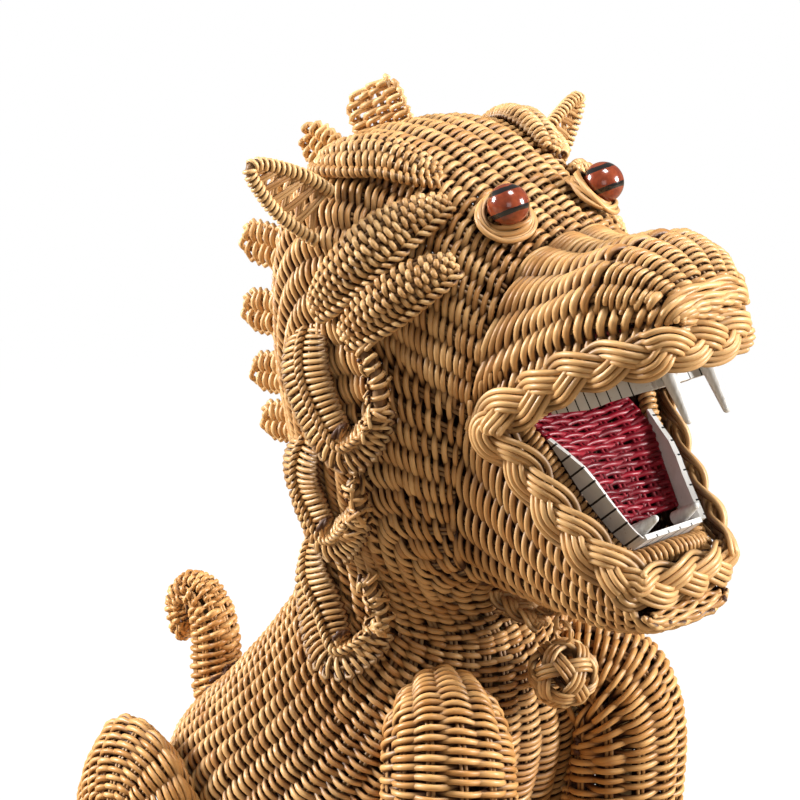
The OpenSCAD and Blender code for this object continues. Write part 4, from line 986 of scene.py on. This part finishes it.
LOBES = (
    ("brow_lobe", ((97, 9), (77, 13), (58, 14), (36, 8)), 13, 11, 3, 3.7, 2.6),
    ("cheek_lobes", ((76, -53), (57, -30), (42, -13), (27, 0)), 13.5, 11.5, 4, 4.4, 2.8),
    ("cheek_lobes", ((59, -63), (43, -47), (28, -34), (11, -23)), 12.5, 10.5, 4, 4.4, 2.8))
lobe_work = {}
for node, knots, half, bulge, ribs, pitch, reed in LOBES:
    spine, lobe_out, lobe_across = flank_line(knots, 41)
    u, v = np.linspace(0, 1, 41), np.linspace(-1, 1, 25)
    narrow = np.maximum(0.3, np.sin(math.pi * (0.03 + 0.94 * u)) ** 0.5)[:, None]
    face = spine[:, None] + lobe_across[:, None] * (half * narrow * v)[..., None]
    face = face + lobe_out[:, None] * (bulge * narrow * np.sqrt(1 - 0.93 * v * v))[..., None]
    for side, flip in BOTH_SIDES:
        work = lobe_work.setdefault(f"{node}_{side}", Strands())
        loops(work, Skin(face * flip * MM, closed=False), ribs, pitch, reed, thick=6.5, slant=0.6, loose=0.4)
        edge = (face[1:-1, -1] + lobe_out[1:-1] * 1.0) * flip
        if node == "brow_lobe":
            bound_rod(work, edge, radius=3.0, reed=2.4, pitch=3.3, ragged=0.25)
        else:
            twist(work, edge, radius=1.5, reed=2.5, pitch=8.5)
for name, work in lobe_work.items():
    work.piece(name.replace("lobe", "pad"), reed_pale, "statue", "rattan_pale", name)

# Mane curls: strips of reed looped crosswise with a corded ridge down the middle.
# Each strip bends up into a hook, a cane bound with ragged turns of the same reed.
CURLS = (((86, -62), (75, -92), (57, -114), (41, -102), (38, -80), (47, -64)),
         ((92, -116), (88, -143), (74, -163), (58, -152), (51, -139), (54, -128)),
         ((103, -170), (90, -199), (71, -221), (57, -213), (53, -195), (58, -178)))
CURL_HALF, CURL_LIFT, CURL_TUCK = 12.0, 4.6, 4.0
curl_work = {"left": Strands(), "right": Strands()}


def ragged_ends(strands, points, radius, count):
    """Short tucked ends of reed that stand off a bound cane, sizes in mm."""
    ahead, u, v = frames_along(points)
    for i in luck.integers(3, len(points) - 3, count):
        a = luck.uniform(0, 2 * math.pi) + np.linspace(-0.55, 0.55, 5)
        lift = radius + np.linspace(-0.4, luck.uniform(0.8, 2.4), 5)
        away = np.outer(np.cos(a), u[i]) + np.outer(np.sin(a), v[i])
        drift = np.outer(np.linspace(-1, 1, 5) * luck.normal(0, 2.2), ahead[i])
        line = points[i] + away * lift[:, None] + drift
        strands.add(line * MM, 1.15 * MM, 0.08, None, away)


for knots in CURLS:
    spine, curl_out, curl_across = flank_line(knots, 61)
    u, v = np.linspace(0, 1, 61), np.linspace(-1, 1, 21)
    rise = 1 - np.clip(1 - u / 0.16, 0, 1)[:, None] ** 2
    narrow = (1 - 0.7 * u ** 1.6)[:, None] * (0.6 + 0.4 * rise)
    inner = CURL_HALF + 6.5 * np.clip(1 - u / 0.42, 0, 1)[:, None] ** 0.6
    wide = np.where(v < 0, inner, CURL_HALF) * narrow
    face = spine[:, None] + curl_across[:, None] * (wide * v)[..., None]
    height = CURL_LIFT + 4.0 * (1 - np.abs(v + 0.25 * (1 - v * v)) ** 1.7) + 3.5 * np.maximum(v, 0)
    face = face + curl_out[:, None] * (height * rise - CURL_TUCK * (1 - rise))[..., None]
    ridge = spine + curl_out * (8.8 * rise - CURL_TUCK * (1 - rise)) - curl_across * CURL_HALF * narrow * 0.25
    hook_line = evened((spine + curl_out * CURL_LIFT)[33:], 60, False)
    for side, flip in BOTH_SIDES:
        work = curl_work[side]
        loops(work, Skin(face * flip * MM, closed=False), ribs=2, pitch=3.3, reed=2.4, thick=5.0, slant=1.0,
              span=(0.0, 0.7))
        twist(work, ridge[1:40] * flip, radius=1.1, reed=2.2, pitch=6.5)
        bound_rod(work, hook_line * flip, radius=np.linspace(5.6, 4.3, 60), reed=2.6, pitch=4.4, ragged=0.9)
        ragged_ends(work, hook_line * flip, radius=4.6, count=26)
for side, work in curl_work.items():
    work.piece(f"curl_weave_{side}", reed_pale, "statue", "rattan_pale", f"mane_curls_{side}")

# Crest: seven flat tongues of open work that stand along the crown and the nape.
# Each is a few ribs with reeds looped round them, loose enough to see through.
TABS = (((26.77, 410.49), (0.513, 0.858), 21.0, 39.6), ((48.90, 385.37), (0.921, 0.390), 34.3, 24.0),
        ((56.06, 359.46), (0.984, 0.179), 50.2, 22.0), ((58.91, 336.95), (0.9985, 0.054), 66.0, 22.0),
        ((58.66, 308.0), (0.9989, -0.047), 66.0, 22.0), ((56.85, 280.63), (0.9946, -0.1035), 62.0, 20.0),
        ((54.09, 256.89), (0.994, -0.1096), 58.1, 20.0))
TAB_ROOT, TAB_PITCH, TAB_RIBS_APART, TAB_CORNER = 5.0, 4.6, 9.0, 12.0
tab_work = Strands()
for foot, lead, reach, wide in TABS:
    foot, lead = np.array((0.0, *foot)), np.array((0.0, *lead))
    across = np.array((0.0, -lead[2], lead[1]))
    corner_r = min(wide / 2, TAB_CORNER)
    rows = int(round((reach + TAB_ROOT) / TAB_PITCH))
    ribs = max(2, int(round(wide / TAB_RIBS_APART)))
    v = np.linspace(-1, 1, ribs * 5 + 4)
    for i in range(rows):
        h = (i + 0.5) * (reach + TAB_ROOT) / rows - TAB_ROOT
        past = max(0.0, h - (reach - corner_r))
        half = wide / 2 - corner_r + math.sqrt(max(0.0, corner_r ** 2 - past ** 2)) - 1.4
        halves = []
        for partner in (0, 1):
            climb = h + (partner - 0.5) * 2.5 + waver(len(v), 6, 0.5)
            wave = np.sin(math.pi * ribs * (v + 1) / 2 + math.pi * partner)
            course = foot + np.outer(climb, lead) + np.outer(half * v, across)
            halves.append(course + np.outer(2.5 * wave, (1, 0, 0)))
        ends = [(halves[0][k] + halves[1][k]) / 2 + across * (1.2 if k else -1.2) for k in (-1, 0)]
        line = np.vstack([halves[0], ends[:1], halves[1][::-1], ends[1:], halves[0][:2]])
        tab_work.add(line * MM, 1.4 * MM * luck.uniform(0.92, 1.06), 0.15)
    for k in range(ribs):
        place = (wide / 2 - 1.6) * ((2 * k + 1) / ribs - 1)
        past = max(0.0, abs(place) - (wide / 2 - corner_r))
        top = reach - corner_r + math.sqrt(max(0.0, corner_r ** 2 - past ** 2)) - 1.6
        rib = foot + np.outer(np.linspace(-TAB_ROOT - 2, top, 14), lead) + place * across
        tab_work.add(rib * MM, 1.2 * MM, 0.45)
tab_work.piece("crest_open_work", reed_pale, "statue", "rattan_pale", "crest_tabs")

# Forelegs: open tubes of honey-coloured reed over twelve paired stakes.
# The rows start round the shoulder, where the stakes are pushed into the body, and end on the paws.
# Its third colour is painted shade.
reed_honey = rattan("reed_honey", (0.80, 0.46, 0.17), (0.47, 0.205, 0.048), (0.055, 0.013, 0.002))
FORE_X, FORE_Y = 59.0, -75.0
FORE_OUT, FORE_IN = np.array([0.5278, -0.8493, 0.0]), np.array([-0.8493, -0.5278, 0.0])


def body_point(s, a):
    """Point of the body skin at a row of its table and an angle from the back."""
    q = between(BODY, s)
    rise = q[0:2] - q[2:4]
    tall = np.linalg.norm(rise)
    up = q[5] + ((1 - q[5]) if math.cos(a) >= 0 else q[5]) * bow(math.cos(a), q[6])
    return np.array([q[4] * bow(math.sin(a), q[6]), *(q[2:4] + rise * up + EYE)])


def breast_y(x, z):
    """Front of the body at a place across and a height."""
    low, high = 0.0, 6.0
    for _ in range(14):
        s = (low + high) / 2
        q = between(BODY, s)
        t = q[5] * (1 - max(0.0, 1 - min(1.0, abs(x) / q[4]) ** q[6]) ** (1 / q[6]))
        p = q[2:4] + (q[0:2] - q[2:4]) * t + EYE
        if p[1] > z:
            low = s
        else:
            high = s
    return p[0]


leg_turn = np.linspace(0, 2 * math.pi, 49)[:-1]
leg_root = np.array([
    body_point(1.3 - 0.95 * math.cos(a), math.radians(143 + 21 * math.sin(a))) for a in leg_turn])


def leg_ring(z, radius):
    ring = np.outer(np.cos(leg_turn), FORE_OUT) + np.outer(np.sin(leg_turn), FORE_IN)
    return np.array([FORE_X, FORE_Y, z]) + radius * ring


leg_bend = leg_ring(113.0, 33.0)
leg_rings = []
for t in np.linspace(0, 1, 9):
    knee = np.column_stack([leg_bend[:, :2], leg_root[:, 2] + 6])
    leg_rings.append((1 - t) ** 2 * leg_root + 2 * t * (1 - t) * knee + t * t * leg_bend)
leg_rings += [leg_ring(z, r) for z, r in ((93, 32), (73, 31), (53, 30), (33.5, 29))]
for ring in leg_rings[1:]:
    for p in ring:
        p[1] = min(p[1], breast_y(p[0], p[2]) - 0.6)
leg_grid = np.array(leg_rings)
for side, flip in BOTH_SIDES:
    leg_work = weave(Skin(leg_grid * flip * MM), stakes=12, pitch=5.0, reed=3.3, stake_reed=2.3, thick=8.0,
                     fine=7, loose=0.4)
    leg_work.piece(f"foreleg_weave_{side}", reed_honey, "statue", "rattan_honey", f"foreleg_{side}")

# Forepaws: the same weave spread forward over the floor, sewn on under the leg.
# Each is a low cup of five rings, widest just above the floor.
PAW = ((32.7, -104, -46, 29), (25.7, -114.5, -46, 32), (16.5, -122.9, -46, 36), (7.3, -125, -45, 37),
       (0.4, -122, -47, 34))
paw_turn = np.linspace(0, 2 * math.pi, 97)[:-1]
paw_grid = np.array([evened(np.column_stack([
    FORE_X + rx * bow(np.sin(paw_turn), 2.3), (y0 + y1) / 2 + (y1 - y0) / 2 * bow(np.cos(paw_turn), 2.3),
    np.full(96, z)]), 72, True) for z, y0, y1, rx in PAW])
for side, flip in BOTH_SIDES:
    paw_work = weave(Skin(paw_grid * flip * MM), stakes=14, pitch=4.8, reed=3.2, stake_reed=2.3, thick=7.5,
                     fine=6, loose=0.3)
    paw_work.piece(f"forepaw_weave_{side}", reed_honey, "statue", "rattan_honey", f"forepaw_{side}")

# Haunches: domes of fine reed on the flanks, in rows round the middle of the thigh.
# Their stakes meet at the top of the dome and are pushed into the body round its foot.
HAUNCH_Y, HAUNCH_Z, HAUNCH_LONG, HAUNCH_TALL, HAUNCH_BOW, HAUNCH_TOP = 102, 60, 49, 60, 2.2, 119
haunch_turn = np.linspace(0, 2 * math.pi, 73)[:-1]
haunch_y = HAUNCH_LONG * bow(np.sin(haunch_turn), HAUNCH_BOW)
haunch_z = HAUNCH_TALL * bow(np.cos(haunch_turn), HAUNCH_BOW)
haunch_root = np.array([(flank_x(np.array([y, z]) - EYE), y, z) for y, z in zip(
    89 + 0.66 * haunch_y, 62 + 0.66 * haunch_z)])
haunch_rings = [haunch_root]
for k in (0.25, 0.5, 0.7, 0.84, 0.93, 0.97, 0.99, 0.998):
    part = (1 - k ** HAUNCH_BOW) ** (1 / HAUNCH_BOW)
    bulge = haunch_root[:, 0] + (HAUNCH_TOP - haunch_root[:, 0]) * k ** 0.9
    haunch_rings.append(np.column_stack([bulge, HAUNCH_Y + haunch_y * part, HAUNCH_Z + haunch_z * part]))
haunch_grid = np.array(haunch_rings)
coil_turn = np.linspace(0, 4 * math.pi, 49)
coil_r = np.linspace(0.6, 5.4, 49)
haunch_coil = np.column_stack([
    np.full(49, 117.2), HAUNCH_Y + coil_r * np.sin(coil_turn), HAUNCH_Z + 1.15 * coil_r * np.cos(coil_turn)])
for side, flip in BOTH_SIDES:
    haunch_work = weave(Skin(haunch_grid * flip * MM), stakes=20, pitch=4.4, reed=3.0, stake_reed=2.2,
                        thick=7.5, loose=0.3)
    haunch_work.add(haunch_coil * flip * MM, 1.4 * MM, 0.1, None, np.tile(flip * (1, 0, 0), (49, 1)))
    haunch_work.piece(f"haunch_weave_{side}", reed_honey, "statue", "rattan_honey", f"haunch_{side}")

# Hind paws: short mitts of the same weave that reach forward from the haunches along the floor.
# Each tapers to a blunt toe and is trimmed where it meets the thigh and the body.
HIND = ((72.6, 17, 33), (49.2, 20, 35), (25.8, 23, 36), (8.6, 22, 33), (-1.5, 17, 23.8), (-5.4, 9, 13.2),
        (-6.2, 2, 8))
hind_grid = []
for y, r, h in HIND:
    a = np.linspace(0, 2 * math.pi, 97)[:-1]
    z = h / 2 + h / 2 * bow(np.cos(a), 2.4) + 0.3
    thigh = np.maximum(0, 1 - (np.abs(z - HAUNCH_Z) / HAUNCH_TALL) ** HAUNCH_BOW) ** (1 / HAUNCH_BOW)
    y_at = np.minimum(y, HAUNCH_Y - HAUNCH_LONG * thigh - 0.6)
    x = np.array([max(95 + r * bow(math.sin(t), 2.4), flank_x(np.array([p, q]) - EYE) + 0.6)
                  for t, p, q in zip(a, y_at, z)])
    hind_grid.append(evened(np.column_stack([x, y_at, z]), 72, True))
hind_grid = np.array(hind_grid)
for side, flip in BOTH_SIDES:
    hind_work = weave(Skin(hind_grid * flip * MM), stakes=12, pitch=5.0, reed=3.0, stake_reed=2.2, thick=7.0,
                      fine=6, loose=0.3)
    hind_work.piece(f"hindpaw_weave_{side}", reed_honey, "statue", "rattan_honey", f"hindpaw_{side}")

# Tail: a hook woven in rings over ten stakes and a bent cane, tight at the tip.
# Its thick end is sewn to the rump.
TAIL = np.array([
    (0, 0), (10, 2), (14, 16), (15, 34), (21, 48), (31, 51), (39, 43), (38, 31), (33, 28)], float)
tail_line = between(TAIL, np.linspace(0, 8, 49)) + np.array([135.08, 96.61])
tail_ahead = unit(np.gradient(tail_line, axis=0))
tail_share = np.linspace(0, 1, 49)
tail_close = np.interp(tail_share, (0, 0.93, 0.97, 1), (1, 1, 0.8, 0.15))
tail_r = (34 - 18 * tail_share ** 0.8) / 2 * tail_close
tail_a = np.linspace(0, 2 * math.pi, 33)[:-1]
tail_grid = np.array([np.column_stack([
    r * np.sin(tail_a), p[0] - t[1] * r * np.cos(tail_a), p[1] + t[0] * r * np.cos(tail_a)])
    for p, t, r in zip(tail_line, tail_ahead, tail_r)])
tail_work = weave(Skin(tail_grid * MM), stakes=10, pitch=4.3, reed=2.7, stake_reed=2.0, thick=5.5, ref=0.25,
                  span=(0.02, 1.0), fine=6, loose=0.2)
tail_work.piece("tail_weave", reed_honey, "statue", "rattan_honey", "tail_skin")

# Bell: an open ball of six plaited bands, three reeds to a band, with a ring of reed on top.
# The ring hangs in the eye at the end of a short plait that is sewn to the neck under the chin.
BALL, BALL_R, RING_R = np.array([0.0, -91.0, 169.0]), 15.0, 5.0
STEM_FOOT, STEM_TIP = np.array([0.0, -57.8, 190.2]), np.array([0.0, -91.0, 200.5])
stem_work, bell_work = Strands(), Strands()
stem_line = np.linspace(STEM_FOOT, STEM_TIP, 80)
stem_ahead = unit(np.gradient(stem_line, axis=0))
stem_side = np.tile((1.0, 0.0, 0.0), (80, 1))
stem_sway = np.linspace(3.6, 1.9, 80)
plait(stem_work, stem_line, stem_ahead, np.cross(stem_ahead, stem_side), stem_side, turns=1.5, sway=stem_sway,
      rise=1.3, dome=0.4, reeds=3, reed=1.6, closed=False)
hang_knots = np.array([
    (-9.0, -59.5, 202.5), (-8.0, -67.0, 199.0), (-5.5, -74.5, 195.0), (-3.0, -80.0, 190.5)])
hang_line = between(hang_knots, np.linspace(0, 3, 80))
hang_ahead = unit(np.gradient(hang_line, axis=0))
hang_sway = np.interp(np.linspace(0, 1, 80), (0, 0.6, 1), (4.8, 4.8, 1.8))
plait(stem_work, hang_line, hang_ahead, np.cross(hang_ahead, stem_side), stem_side, turns=0.9, sway=hang_sway,
      rise=2.2, dome=0.6, reeds=3, reed=2.5, closed=False)
bound_rod(stem_work, evened(hang_line[62:], 24, False), radius=3.2, reed=1.6, pitch=1.8, ragged=0.2)
bound_rod(stem_work, evened(stem_line[54:74], 30, False), radius=3.0, reed=1.5, pitch=1.7, ragged=0.2)


def reed_ring(strands, height, across, side):
    """Two thin reeds laid round each other in an upright ring over the ball."""
    a = np.linspace(0, 2 * math.pi, 37)
    round_ring = RING_R * (np.outer(np.cos(a), across) + np.outer(np.sin(a), (0, 0, 1)))
    for shift in (-0.75, 0.75):
        ring = (BALL[0], BALL[1], height) + round_ring + np.outer(shift * np.cos(3 * a), side)
        strands.add(np.vstack([ring, ring[1:2]]) * MM, 0.85 * MM, 0.15)


reed_ring(stem_work, 195.5, across=(1, 0, 0), side=(0, 1, 0))
stem_work.piece("bell_plait", reed_pale, "statue", "rattan_pale", "bell_loop")
reed_ring(bell_work, 189.2, across=(0, 1, 0), side=(1, 0, 0))
golden = (1 + math.sqrt(5)) / 2
axes = unit(np.array([
    (0, 1, golden), (0, -1, golden), (1, golden, 0), (-1, golden, 0), (golden, 0, 1), (-golden, 0, 1)]))
tilt = math.radians(24)
axes = axes @ np.array([(math.cos(tilt), -math.sin(tilt), 0), (math.sin(tilt), math.cos(tilt), 0), (0, 0, 1)])
starts = [unit(np.cross(axis, axes[0 if i else 1])) for i, axis in enumerate(axes)]
signs = np.ones(6)


def over(i, p):
    """How far band i lies outside, above 0, or inside, below 0, at a place on the ball."""
    angle = math.atan2(np.dot(np.cross(axes[i], starts[i]), p), np.dot(starts[i], p))
    return signs[i] * math.cos(5 * angle)


for i in range(1, 6):
    if over(i, starts[i]) * over(0, starts[i]) > 0:
        signs[i] = -1
for axis, start, sign in zip(axes, starts, signs):
    other = np.cross(axis, start)
    a = np.linspace(0, 2 * math.pi, 61)
    wave = sign * np.cos(5 * a)
    # Where a band dips inside the others it takes painted shade.
    deep = np.clip(0.4 - 0.4 * np.append(wave, wave[1]), 0, 1)
    for shift in (-2.35, 0, 2.35):
        radius = math.sqrt(BALL_R ** 2 - shift ** 2) + 0.9 * wave
        band = BALL + np.outer(radius * np.cos(a), start) + np.outer(radius * np.sin(a), other) + axis * shift
        bell_work.add(np.vstack([band, band[1:2]]) * MM, 1.15 * MM, deep)
bell_work.piece("bell_open_work", reed_pale, "bell", "rattan_pale", "bell_ball")
